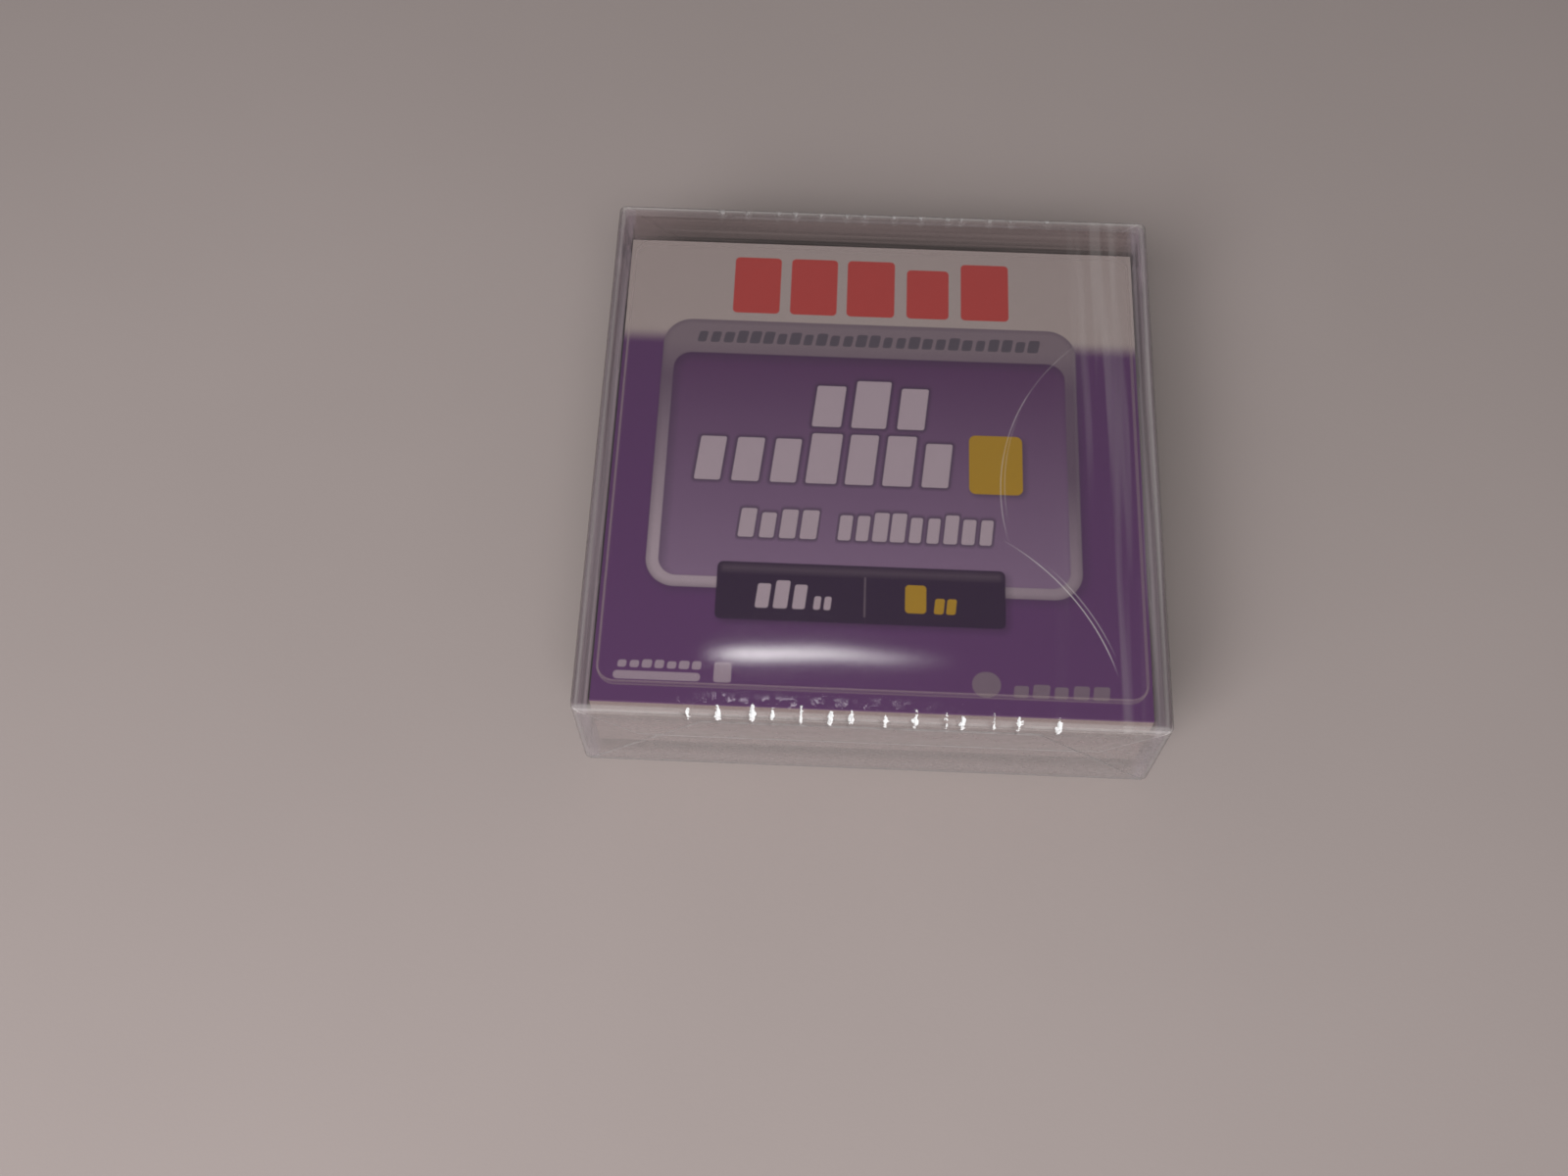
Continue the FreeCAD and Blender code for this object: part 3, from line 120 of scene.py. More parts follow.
class CardValues(bpy.types.PropertyGroup):
    thickness: size_value("Card thickness", "Thickness of the card", 0.26)
    clearance: size_value("Card clearance", "Air between the card and the lid", 0.04)
    sag: size_value("Card sag", "How far the card's middle hangs below its edges", 0.15)
    paper: tint_value("Paper", "Unprinted card", 0.36, 0.29, 0.275)
    field: tint_value("Field", "Large field of the print", 0.101, 0.033, 0.120)
    panel_dark: tint_value("Panel top", "Upper part of the framed panel", 0.089, 0.031, 0.097)
    panel_light: tint_value("Panel foot", "Lower part of the framed panel", 0.200, 0.123, 0.207)
    silver: tint_value("Frame", "Silver grey frame", 0.185, 0.135, 0.16)
    frame_shade: tint_value("Frame shade", "Darker parts of the frame", 0.115, 0.072, 0.112)
    slogan: tint_value("Slogan", "Small blocks on the frame's head", 0.055, 0.045, 0.065)
    pale: tint_value("Pale marks", "Pale blocks in the panel", 0.385, 0.30, 0.34)
    red: tint_value("Red marks", "Blocks in the white band", 0.42, 0.045, 0.04)
    yellow: tint_value("Yellow marks", "Yellow blocks", 0.37, 0.205, 0.010)
    ink: tint_value("Dark box", "Dark box over the frame's foot", 0.024, 0.007, 0.034)


class PartValues(bpy.types.PropertyGroup):
    shell: tint_value("Shell", "Both halves of the cartridge's shell", 0.022, 0.022, 0.025)
    door: tint_value("Door", "Access door", 0.075, 0.075, 0.085)
    switch: tint_value("Switch", "Write protect switch", 0.45, 0.03, 0.025)
    screw: tint_value("Screws", "Plated shell screws", 0.46, 0.46, 0.48)
    board: tint_value("Board", "Board of the memory chip", 0.02, 0.10, 0.045)
    aerial: tint_value("Aerial", "Turns of the chip's aerial", 0.16, 0.22, 0.09)
    chip: tint_value("Chip", "Moulded block of the chip", 0.015, 0.015, 0.016)
    hub: tint_value("Hub", "Reel hub and lower flange", 0.34, 0.34, 0.36)
    flange: tint_value("Upper flange", "Frosted upper flange", 0.72, 0.73, 0.74)
    tape: tint_value("Tape", "Wound tape", 0.030, 0.021, 0.017)
    button: tint_value("Button", "Brake button", 0.66, 0.65, 0.61)
    spider: tint_value("Spider", "Release spider", 0.60, 0.58, 0.52)
    clutch: tint_value("Clutch plate", "Steel plate under the hub", 0.50, 0.50, 0.51)
    spring: tint_value("Brake spring", "Spring over the button", 0.55, 0.55, 0.56)
    pin: tint_value("Pin", "Leader pin, its retainer and the door's spring", 0.62, 0.62, 0.63)
    clip: tint_value("Clip", "Clip between pin and leader", 0.58, 0.58, 0.56)
    leader: tint_value("Leader", "Leader tape", 0.60, 0.60, 0.56)
    leader_light: tint_value("Leader lines", "Lighter lines along the leader", 0.72, 0.72, 0.68)


class StageValues(bpy.types.PropertyGroup):
    floor: tint_value("Floor", "Colour of the floor", 0.367, 0.312, 0.300)
    lens: bpy.props.FloatProperty(
        name="Lens", description="Focal length of the camera", default=39.65, unit="CAMERA")
    pitch: bpy.props.FloatProperty(
        name="Pitch", description="How far the camera looks down", default=math.radians(64.9),
        subtype="ANGLE")
    turn: bpy.props.FloatProperty(
        name="Turn", description="How far the camera is turned to the left", default=math.radians(2.4),
        subtype="ANGLE")
    eye: bpy.props.FloatVectorProperty(
        name="Eye", description="Camera, from the middle of the pack's underside", subtype="TRANSLATION",
        size=3, default=(-0.0115, -0.1736, 0.3307), precision=4)
    key_power: bpy.props.FloatProperty(
        name="Key lamp", description="Power of the lamp at the front left", default=5.2, unit="POWER")
    front_power: bpy.props.FloatProperty(
        name="Front lamp", description="Power of the lamp at the front", default=4.1, unit="POWER")
    surround: bpy.props.FloatProperty(
        name="Surround", description="Brightness of the surroundings at the horizon", default=0.46)
    overhead: bpy.props.FloatProperty(
        name="Overhead", description="Brightness of the surroundings overhead", default=0.09)
    streak: bpy.props.FloatProperty(
        name="Streak", description="Brightness of the narrow light that the lid mirrors", default=8.0)


# ---- modelling helpers ----

def all_deselected():
    if bpy.context.object and bpy.context.object.mode != "OBJECT":
        bpy.ops.object.mode_set(mode="OBJECT")
    bpy.ops.object.select_all(action="DESELECT")


def blank(name, low, high):
    """A cube from corner to corner, with its place in its mesh, ready to be shaped."""
    all_deselected()
    low, high = Vector(low), Vector(high)
    bpy.ops.mesh.primitive_cube_add(size=1, location=(low + high) / 2)
    obj = bpy.context.object
    obj.name = name
    obj.scale = high - low
    bpy.ops.object.transform_apply(location=True, rotation=True, scale=True)
    return obj


def pick(obj, kind, wanted):
    """In edit mode, selects only the vertices, edges or faces whose middle passes the test."""
    bpy.ops.mesh.select_mode(type=kind)
    bpy.ops.mesh.select_all(action="DESELECT")
    mesh = bmesh.from_edit_mesh(obj.data)
    for item in {"VERT": mesh.verts, "EDGE": mesh.edges, "FACE": mesh.faces}[kind]:
        if kind == "VERT":
            item.select_set(wanted(item.co, None))
        else:
            points = [v.co for v in item.verts]
            spread = Vector(max(p[i] for p in points) - min(p[i] for p in points) for i in range(3))
            item.select_set(wanted(sum(points, Vector()) / len(points), spread))
    mesh.select_flush_mode()
    bmesh.update_edit_mesh(obj.data)


def slice_mesh(axis, places):
    """Cuts the whole mesh with planes across one axis."""
    normal = [0.0, 0.0, 0.0]
    normal[axis] = 1.0
    for place in places:
        point = [0.0, 0.0, 0.0]
        point[axis] = place
        bpy.ops.mesh.select_all(action="SELECT")
        bpy.ops.mesh.bisect(plane_co=point, plane_no=normal)


def steps(start, end, count):
    """Values spread evenly between two ends, without the ends."""
    return [start + (end - start) * (i + 1) / (count + 1) for i in range(count)]


# ---- shader helpers ----

class Shade:
    """Adds and links the nodes of one shader tree."""

    def __init__(self, tree):
        self.tree = tree

    def add(self, kind, **settings):
        node = self.tree.nodes.new(kind)
        for name, value in settings.items():
            setattr(node, name, value)
        return node

    def feed(self, socket, value):
        if isinstance(value, bpy.types.NodeSocket):
            self.tree.links.new(value, socket)
        else:
            socket.default_value = value

    def filled(self, node, **values):
        """Feeds a node's inputs by name, with _ for a blank, and gives its outputs."""
        for name, value in values.items():
            self.feed(node.inputs[name.replace("_", " ")], value)
        return node.outputs

    def maths(self, operation, a, b=0.0, c=0.0, clamp=False):
        node = self.add("ShaderNodeMath", operation=operation, use_clamp=clamp)
        for socket, value in zip(node.inputs, (a, b, c)):
            self.feed(socket, value)
        return node.outputs[0]

    def chained(self, operation, values, clamp):
        result = values[0]
        for value in values[1:]:
            result = self.maths(operation, result, value, clamp=clamp)
        return result

    def times(self, *values, clamp=False):
        return self.chained("MULTIPLY", values, clamp)

    def plus(self, *values, clamp=False):
        return self.chained("ADD", values, clamp)

    def most(self, *values):
        return self.chained("MAXIMUM", values, False)

    def least(self, *values):
        return self.chained("MINIMUM", values, False)

    def minus(self, a, b, clamp=False):
        return self.maths("SUBTRACT", a, b, clamp=clamp)

    def absolute(self, value):
        return self.maths("ABSOLUTE", value)

    def times_plus(self, value, factor, addend, clamp=False):
        return self.maths("MULTIPLY_ADD", value, factor, addend, clamp)

    def vector(self, operation, a, b=(0.0, 0.0, 0.0)):
        node = self.add("ShaderNodeVectorMath", operation=operation)
        self.feed(node.inputs[0], a)
        self.feed(node.inputs[1], b)
        return node.outputs[1 if operation in ("LENGTH", "DISTANCE", "DOT_PRODUCT") else 0]

    def scaled(self, vector, factor):
        node = self.add("ShaderNodeVectorMath", operation="SCALE")
        self.feed(node.inputs[0], vector)
        self.feed(node.inputs["Scale"], factor)
        return node.outputs[0]

    def stretched(self, vector, factors):
        return self.vector("MULTIPLY", vector, factors)

    def axes(self, vector):
        """The x, y and z of a vector."""
        return self.filled(self.add("ShaderNodeSeparateXYZ"), Vector=vector)

    def combined(self, **values):
        return self.filled(self.add("ShaderNodeCombineXYZ"), **values)[0]

    def colours(self, mask, under, over, blend="MIX"):
        node = self.add("ShaderNodeMix", data_type="RGBA", blend_type=blend)
        return self.filled(node, Factor=mask, A=under, B=over)["Result"]

    def ranged(self, value, low, high, out_low=0.0, out_high=1.0, curve="LINEAR"):
        node = self.add("ShaderNodeMapRange", interpolation_type=curve)
        return self.filled(node, Value=value, From_Min=low, From_Max=high, To_Min=out_low,
                           To_Max=out_high)["Result"]

    def noise(self, vector, scale, detail=3.0, roughness=0.5):
        node = self.add("ShaderNodeTexNoise")
        return self.filled(node, Vector=vector, Scale=scale, Detail=detail, Roughness=roughness)["Fac"]

    def place(self, centre=(0.0, 0.0, 0.0)):
        """Object coordinates in millimetres, from the given centre."""
        coordinates = self.add("ShaderNodeTexCoord").outputs["Object"]
        return self.scaled(self.vector("SUBTRACT", coordinates, centre), 1 / MM)

    def bumped(self, height, distance, strength=1.0):
        node = self.add("ShaderNodeBump")
        return self.filled(node, Height=height, Distance=distance, Strength=strength)["Normal"]

    def shared(self, group, **values):
        return self.filled(self.add("ShaderNodeGroup", node_tree=group), **values)

    def principled(self, **values):
        return self.filled(self.add("ShaderNodeBsdfPrincipled"), **values)[0]

    def mirror(self, roughness, normal):
        """The reflecting part of a clear wall."""
        return self.principled(Base_Color=MIRROR, Metallic=1.0, Roughness=roughness, Normal=normal)

    def layered(self, factor, first, second):
        node = self.add("ShaderNodeMixShader")
        for socket, value in zip(node.inputs, (factor, first, second)):
            self.feed(socket, value)
        return node.outputs[0]

    def clear(self, colour):
        return self.filled(self.add("ShaderNodeBsdfTransparent"), Color=colour)[0]

    def wall_shine(self, ior, normal):
        """Share of light that a thin wall reflects, the same from inside as from outside."""
        behind = self.add("ShaderNodeNewGeometry").outputs["Backfacing"]
        either_way = self.times_plus(behind, 1 / ior - ior, ior)
        return self.filled(self.add("ShaderNodeFresnel"), IOR=either_way, Normal=normal)[0]

    def lamps_pass(self, shader):
        """Lets lamp light straight through a clear piece to what it covers."""
        rays = self.add("ShaderNodeLightPath").outputs
        passes = self.most(rays["Is Shadow Ray"], rays["Is Diffuse Ray"])
        return self.layered(passes, shader, self.clear(LAMP_TINT))

    def output(self, shader):
        self.filled(self.add("ShaderNodeOutputMaterial"), Surface=shader)


def new_material(name):
    material = bpy.data.materials.new(name)
    material.use_nodes = True
    material.node_tree.nodes.clear()
    return material, Shade(material.node_tree)


def dress(node_name, material):
    """Gives a node of the frame a finish in all its material slots."""
    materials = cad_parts[node_name].data.materials
    materials.clear()
    materials.append(material)


def new_group(name, inputs, outputs):
    """A node group with named sockets, and the nodes that stand for them inside."""
    tree = bpy.data.node_groups.new(name, "ShaderNodeTree")
    for socket_name, kind, default in inputs:
        socket = tree.interface.new_socket(name=socket_name, in_out="INPUT", socket_type="NodeSocket" + kind)
        if default is not None:
            socket.default_value = default
    for socket_name, kind in outputs:
        tree.interface.new_socket(name=socket_name, in_out="OUTPUT", socket_type="NodeSocket" + kind)
    shade = Shade(tree)
    given = shade.add("NodeGroupInput").outputs
    result = shade.add("NodeGroupOutput").inputs
    return tree, shade, given, result


# ---- shared shader groups ----

def rounded_mark_group():
    """Mask of a rounded rectangle: one inside it, nought outside, with a soft edge."""
    tree, shade, given, result = new_group(
        "rounded_mark",
        [("Place", "Vector", None), ("Centre", "Vector", None), ("Half", "Vector", None),
         ("Corner", "Float", 0.5), ("Blur", "Float", 0.1)],
        [("Mask", "Float"), ("Distance", "Float")])
    away = shade.vector("ABSOLUTE", shade.vector("SUBTRACT", given["Place"], given["Centre"]))
    past = shade.axes(shade.vector("SUBTRACT", away, given["Half"]))
    x = shade.plus(past["X"], given["Corner"])
    y = shade.plus(past["Y"], given["Corner"])
    out_x = shade.most(x, 0.0)
    out_y = shade.most(y, 0.0)
    square = shade.plus(shade.times(out_x, out_x), shade.times(out_y, out_y))
    inner = shade.least(shade.most(x, y), 0.0)
    distance = shade.minus(shade.plus(shade.maths("SQRT", square), inner), given["Corner"])
    shade.feed(result["Distance"], distance)
    shade.feed(result["Mask"], shade.minus(0.5, shade.maths("DIVIDE", distance, given["Blur"]), clamp=True))
    return tree


def edge_distance_group():
    """Distance from a point on a box's surface to the nearest of its edges."""
    tree, shade, given, result = new_group(
        "edge_distance", [("Place", "Vector", None), ("Low", "Vector", None), ("High", "Vector", None)],
        [("Distance", "Float")])
    from_low = shade.vector("SUBTRACT", given["Place"], given["Low"])
    from_high = shade.vector("SUBTRACT", given["High"], given["Place"])
    x, y, z = shade.axes(shade.vector("MINIMUM", from_low, from_high))
    outer_two = shade.minus(shade.minus(shade.plus(x, y, z), shade.most(x, y, z)), shade.least(x, y, z))
    shade.feed(result["Distance"], outer_two)
    return tree


def block_row_group(mark):
    """Mask of a row of slanted, uneven blocks, which stands where a line of words would be."""
    tree, shade, given, result = new_group(
        "block_row",
        [("Place", "Vector", None), ("Centre", "Vector", None), ("Half", "Vector", None),
         ("Pitch", "Float", 4.0), ("Gap", "Float", 0.2), ("Slant", "Float", 0.0), ("Uneven", "Float", 0.0),
         ("Corner", "Float", 0.3)],
        [("Mask", "Float"), ("Halo", "Float")])
    away = shade.axes(shade.vector("SUBTRACT", given["Place"], given["Centre"]))
    half = shade.axes(given["Half"])
    x = shade.minus(away["X"], shade.times(away["Y"], given["Slant"]))
    cell = shade.maths("DIVIDE", shade.plus(x, half["X"]), given["Pitch"])
    number = shade.add("ShaderNodeTexWhiteNoise", noise_dimensions="1D")
    chance = shade.filled(number, W=shade.plus(shade.maths("FLOOR", cell), given["Pitch"]))["Value"]
    local_x = shade.times(shade.minus(shade.maths("FRACT", cell), 0.5), given["Pitch"])
    narrow = shade.times(chance, 0.2, given["Uneven"])
    width = shade.minus(shade.minus(1.0, given["Gap"]), narrow)
    short = shade.times(shade.maths("GREATER_THAN", chance, 0.5), given["Uneven"])
    drop = shade.times(short, 0.13, half["Y"])
    local = shade.combined(X=local_x, Y=shade.plus(away["Y"], drop))
    size = shade.combined(X=shade.times(width, 0.5, given["Pitch"]), Y=shade.minus(half["Y"], drop))
    block = shade.shared(mark, Place=local, Half=size, Corner=given["Corner"], Blur=0.25)
    inside = shade.maths("LESS_THAN", shade.absolute(x), half["X"])
    halo = shade.ranged(block["Distance"], 0.0, 1.1, 1.0, 0.0, "SMOOTHSTEP")
    shade.feed(result["Mask"], shade.times(block["Mask"], inside))
    shade.feed(result["Halo"], shade.times(halo, inside))
    return tree


def moulded_grain_group():
    """Fine spark-eroded grain, slow tone change and scuffs of a moulded plastic part."""
    tree, shade, given, result = new_group(
        "moulded_grain",
        [("Place", "Vector", None), ("Colour", "Color", (0.5, 0.5, 0.5, 1.0)), ("Grain", "Float", 3.0),
         ("Depth", "Float", 0.01 * MM), ("Roughness", "Float", 0.5), ("Scuffs", "Float", 0.3)],
        [("Colour", "Color"), ("Roughness", "Float"), ("Normal", "Vector")])
    grain = shade.noise(given["Place"], given["Grain"], 2.0, 0.6)
    slow = shade.noise(given["Place"], 0.06, 3.0, 0.5)
    long_way = shade.stretched(given["Place"], (0.9, 0.12, 0.5))
    scratch = shade.ranged(shade.noise(long_way, 1.4, 5.0, 0.75), 0.62, 0.74)
    worn = shade.times(scratch, given["Scuffs"])
    tone = shade.ranged(slow, 0.3, 0.7, 0.9, 1.1)
    toned = shade.colours(1.0, given["Colour"], tone, "MULTIPLY")
    lighter = shade.colours(1.0, toned, (0.06, 0.06, 0.06, 1.0), "ADD")
    shade.feed(result["Colour"], shade.colours(worn, toned, lighter))
    rough = shade.plus(given["Roughness"], shade.ranged(slow, 0.3, 0.7, -0.05, 0.05))
    rough = shade.minus(rough, shade.times(worn, 0.15), clamp=True)
    shade.feed(result["Roughness"], rough)
    shade.feed(result["Normal"], shade.bumped(grain, given["Depth"]))
    return tree


def steel_wear_group():
    """Drawing lines and faint stains of bright steel."""
    tree, shade, given, result = new_group(
        "steel_wear",
        [("Place", "Vector", None), ("Colour", "Color", (0.6, 0.6, 0.6, 1.0)), ("Roughness", "Float", 0.3)],
        [("Colour", "Color"), ("Roughness", "Float"), ("Normal", "Vector")])
    lines = shade.noise(shade.stretched(given["Place"], (6.0, 6.0, 0.6)), 2.0, 3.0, 0.6)
    stain = shade.noise(given["Place"], 0.35, 4.0, 0.6)
    tone = shade.ranged(stain, 0.3, 0.7, 0.85, 1.08)
    shade.feed(result["Colour"], shade.colours(1.0, given["Colour"], tone, "MULTIPLY"))
    dulled = shade.ranged(stain, 0.3, 0.7, -0.06, 0.08)
    shade.feed(result["Roughness"], shade.plus(given["Roughness"], dulled, clamp=True))
    shade.feed(result["Normal"], shade.bumped(lines, 0.01 * MM))
    return tree


GROUPS = {}


# ---- overwrap film ----

# Distances in mm from the film's front and back at which its sheet is cut, closer where it is gathered.
RIM_CUTS = (1.2, 2.0, 3.0, 4.4, 6.4, 9.4, 14.0, 24.0, 38.0)
# Each crease: middle and radius of its arc, the y where it starts and ends, and its strength, in mm.
CREASES = (
    ((70.6, -8.3, 0.0), 45.8, -20.0, 29.0, 0.5),
    ((72.0, -7.5, 0.0), 46.4, -16.0, 10.0, 0.3),
    ((0.0, -61.0, 0.0), 48.6, -48.0, -19.0, 0.9),
    ((0.0, -61.0, 0.0), 49.5, -44.0, -24.0, 0.5),
)
CREASE_WIDTH = 0.26
CREASE_FADE = 6.0
CREASE_LEFT = 22.0


def pucker_places(wrap):
    """Where the film is gathered along its long top edges, in uneven steps."""
    random.seed(11)
    step = wrap.pucker_span / wrap.puckers
    first = -wrap.pucker_span / 2
    return [first + step * (i + 0.5 + random.uniform(-0.32, 0.32)) for i in range(wrap.puckers)]


def film_sheet(wrap):
    """The film round the whole pack, cut finely enough near its edges to be gathered."""
    inset = wrap.thickness / 2
    seam = wrap.thickness
    folds = 2 * wrap.thickness
    low = FILM_LOW + Vector((seam + inset, folds + inset, inset))
    high = FILM_HIGH - Vector((inset, folds + inset, inset))
    sheet = blank("wrap_film", low, high)
    bpy.ops.object.mode_set(mode="EDIT")
    height = high.z - low.z
    pick(sheet, "EDGE", lambda middle, spread: spread.z > height / 2)
    bpy.ops.mesh.bevel(offset=wrap.corner, segments=4, affect="EDGES")
    middle_z = (low.z + high.z) / 2
    rim = height / 2 - inset
    pick(sheet, "EDGE", lambda middle, spread: spread.z < inset and abs(middle.z - middle_z) > rim)
    bpy.ops.mesh.bevel(offset=wrap.edge, segments=3, affect="EDGES")
    across = steps(low.x, high.x, 60)
    for x in pucker_places(wrap):
        across += [x - 0.8 * MM, x - 0.35 * MM, x, x + 0.35 * MM, x + 0.8 * MM]
    slice_mesh(0, across)
    for border in RIM_CUTS:
        slice_mesh(1, (low.y + border * MM, high.y - border * MM))
    slice_mesh(2, steps(low.z, high.z, 8) + [high.z - drop * MM for drop in (1.2, 2.0)])
    return sheet, low, high


def pucker(sheet, wrap, low, high):
    """Sinks a small gather in the film at each place, along the front and back top edges."""
    for edge_y, inwards, depth in ((low.y, 1.0, 1.0), (high.y, -1.0, 0.7)):
        for x in pucker_places(wrap):
            near = Vector((x, edge_y, high.z))
            mesh = bmesh.from_edit_mesh(sheet.data)
            closest = min(mesh.verts, key=lambda v: (v.co - near).length).co.copy()
            pick(sheet, "VERT", lambda point, spread: (point - closest).length < TINY)
            sink = depth * wrap.pucker_depth * random.uniform(0.6, 1.0)
            bpy.ops.transform.translate(
                value=(0.0, inwards * sink * 0.5, -sink), use_proportional_edit=True,
                proportional_edit_falloff="SHARP", proportional_size=random.uniform(1.5, 2.4) * MM)


def raised(sheet, wanted, offset):
    """Extrudes the faces that pass the test, as one more layer of film."""
    pick(sheet, "FACE", wanted)
    bpy.ops.mesh.extrude_region_move(TRANSFORM_OT_translate={"value": offset})


def end_folds(sheet, wrap, low, high):
    """Trapezoid flaps with 45 degree sides on the front and back: one folded down, one up over it."""
    half = high.x - wrap.corner
    layer = wrap.thickness
    flaps = ((high.z - wrap.edge, -wrap.upper_fold, 1), (low.z + wrap.edge, wrap.lower_fold, 1))
    for face_y, out in ((low.y, -1.0), (high.y, 1.0)):
        for start, height, layers in flaps:
            end = start + height
            slope = math.copysign(1.0, height)

            def on_face(middle, spread):
                return spread.y < TINY and (middle.y - face_y) * out > -TINY

            def in_flap(middle, spread):
                inside = 0.0 < (middle.z - start) * slope < abs(height)
                return on_face(middle, spread) and inside and abs(middle.x) < half - abs(middle.z - start)

            cuts = (((-half, 0.0, start), (1.0, 0.0, -slope)), ((half, 0.0, start), (1.0, 0.0, slope)),
                    ((0.0, 0.0, end), (0.0, 0.0, 1.0)))
            for point, normal in cuts:
                pick(sheet, "FACE", on_face)
                bpy.ops.mesh.bisect(plane_co=point, plane_no=normal)
            raised(sheet, in_flap, (0.0, out * layer * layers, 0.0))


def long_seam(sheet, wrap, low):
    """The lap along the left side."""
    top = wrap.seam_low + wrap.seam_width
    for z in (wrap.seam_low, top):
        pick(sheet, "FACE", lambda middle, spread: middle.x < low.x + wrap.corner)
        bpy.ops.mesh.bisect(plane_co=(0.0, 0.0, z), plane_no=(0.0, 0.0, 1.0))
    raised(sheet, lambda middle, spread: middle.x < low.x + TINY and wrap.seam_low < middle.z < top,
           (-wrap.thickness, 0.0, 0.0))


def gathers(shade, wrap, place, x, rim, from_front):
    """Wedges of gathered film along the rims, and a painted highlight: near-white milk on the brightest part
    of each, as glints.
    """
    nearest = FILM_HIGH.x * 2 / MM
    for centre in pucker_places(wrap):
        nearest = shade.least(shade.absolute(shade.minus(x, centre / MM)), nearest)
    ragged = shade.ranged(shade.noise(place, 0.9, 2.0, 0.6), 0.3, 0.7, -0.35, 0.35)
    nearest = shade.absolute(shade.plus(nearest, ragged))
    along = shade.ranged(nearest, 0.0, shade.times_plus(rim, -0.2, 1.4), 1.0, 0.0)
    gather = shade.times(along, shade.ranged(rim, 0.8, 5.2, 1.0, 0.0, "SMOOTHSTEP"), clamp=True)
    uneven = shade.ranged(shade.noise(place, 0.33, 1.0, 0.5), 0.35, 0.65, 0.4, 0.75)
    # Painted glints: where each gather is highest it is marked for near-white milk.
    painted_glint = shade.ranged(gather, uneven, shade.plus(uneven, 0.12))
    return gather, shade.times(painted_glint, shade.ranged(from_front, 20.0, 30.0, 1.0, 0.3))


def creases(shade, place, x, y, from_top):
    """Long thin arcs where the film was folded, broken in places, on the top only: a raised crease, and along
    it a painted highlight of milk.
    """
    flat = shade.stretched(place, (1.0, 1.0, 0.0))
    crease_and_highlight = 0.0
    for centre, radius, start, end, strength in CREASES:
        off = shade.absolute(shade.minus(shade.vector("DISTANCE", flat, centre), radius))
        line = shade.ranged(off, 0.02, CREASE_WIDTH, strength, 0.0, "SMOOTHSTEP")
        line = shade.times(line, shade.ranged(y, start, start + CREASE_FADE))
        line = shade.times(line, shade.ranged(y, end - CREASE_FADE, end, 1.0, 0.0))
        line = shade.times(line, shade.ranged(x, CREASE_LEFT, CREASE_LEFT + 2.0))
        crease_and_highlight = shade.most(line, crease_and_highlight)
    broken = shade.ranged(shade.noise(place, 0.07, 2.0, 0.5), 0.36, 0.5, 0.35, 1.0)
    return shade.times(crease_and_highlight, broken, shade.ranged(from_top, 0.5, 1.5, 1.0, 0.0))


def end_wall(shade, y):
    """One on the front and back walls, nought elsewhere."""
    wall = FILM_HIGH.y / MM
    return shade.ranged(shade.absolute(y), wall - 0.8, wall - 0.5)


def fold_laps(shade, wrap, x, z):
    """Painted highlight along the edges of the end flaps, and a little haze where they lie one over another.
    """
    across = shade.absolute(x)
    half = (FILM_HIGH.x - wrap.corner) / MM
    lap_haze_and_fold_highlight = 0.0
    for start, slope, reach in ((FILM_LOW.z + wrap.edge, 1.0, wrap.lower_fold),
                                (FILM_HIGH.z - wrap.edge, -1.0, wrap.upper_fold)):
        climb = shade.times(shade.minus(z, start / MM), slope)
        to_side = shade.minus(shade.minus(half, across), climb)
        inside = shade.least(to_side, shade.minus(reach / MM, climb))
        fold = shade.ranged(shade.absolute(inside), 0.0, 0.5, 0.5, 0.0, "SMOOTHSTEP")
        lap_haze_and_fold_highlight = shade.plus(fold, shade.ranged(inside, 0.0, 0.3, 0.0, 0.06), lap_haze_and_fold_highlight)
    return lap_haze_and_fold_highlight


def edge_lines(shade, place, front_rim):
    """Painted highlight as a light line along the pack's edges and its front rim, and outside it painted
    shade as a dark line everywhere but at the front.
    """
    edge = shade.shared(GROUPS["edge_distance"], Place=place, Low=tuple(FILM_LOW / MM),
                        High=tuple(FILM_HIGH / MM))["Distance"]
    away = shade.minus(1.0, shade.ranged(front_rim, 1.5, 3.0, 1.0, 0.0))
    dark = shade.times(shade.ranged(edge, 0.45, 0.85, 0.5, 0.0), away)
    light = shade.times(shade.ranged(edge, 0.8, 1.1), shade.ranged(edge, 1.3, 1.8, 0.18, 0.0))
    return dark, shade.plus(shade.ranged(front_rim, 0.5, 1.6, 0.4, 0.0), light)


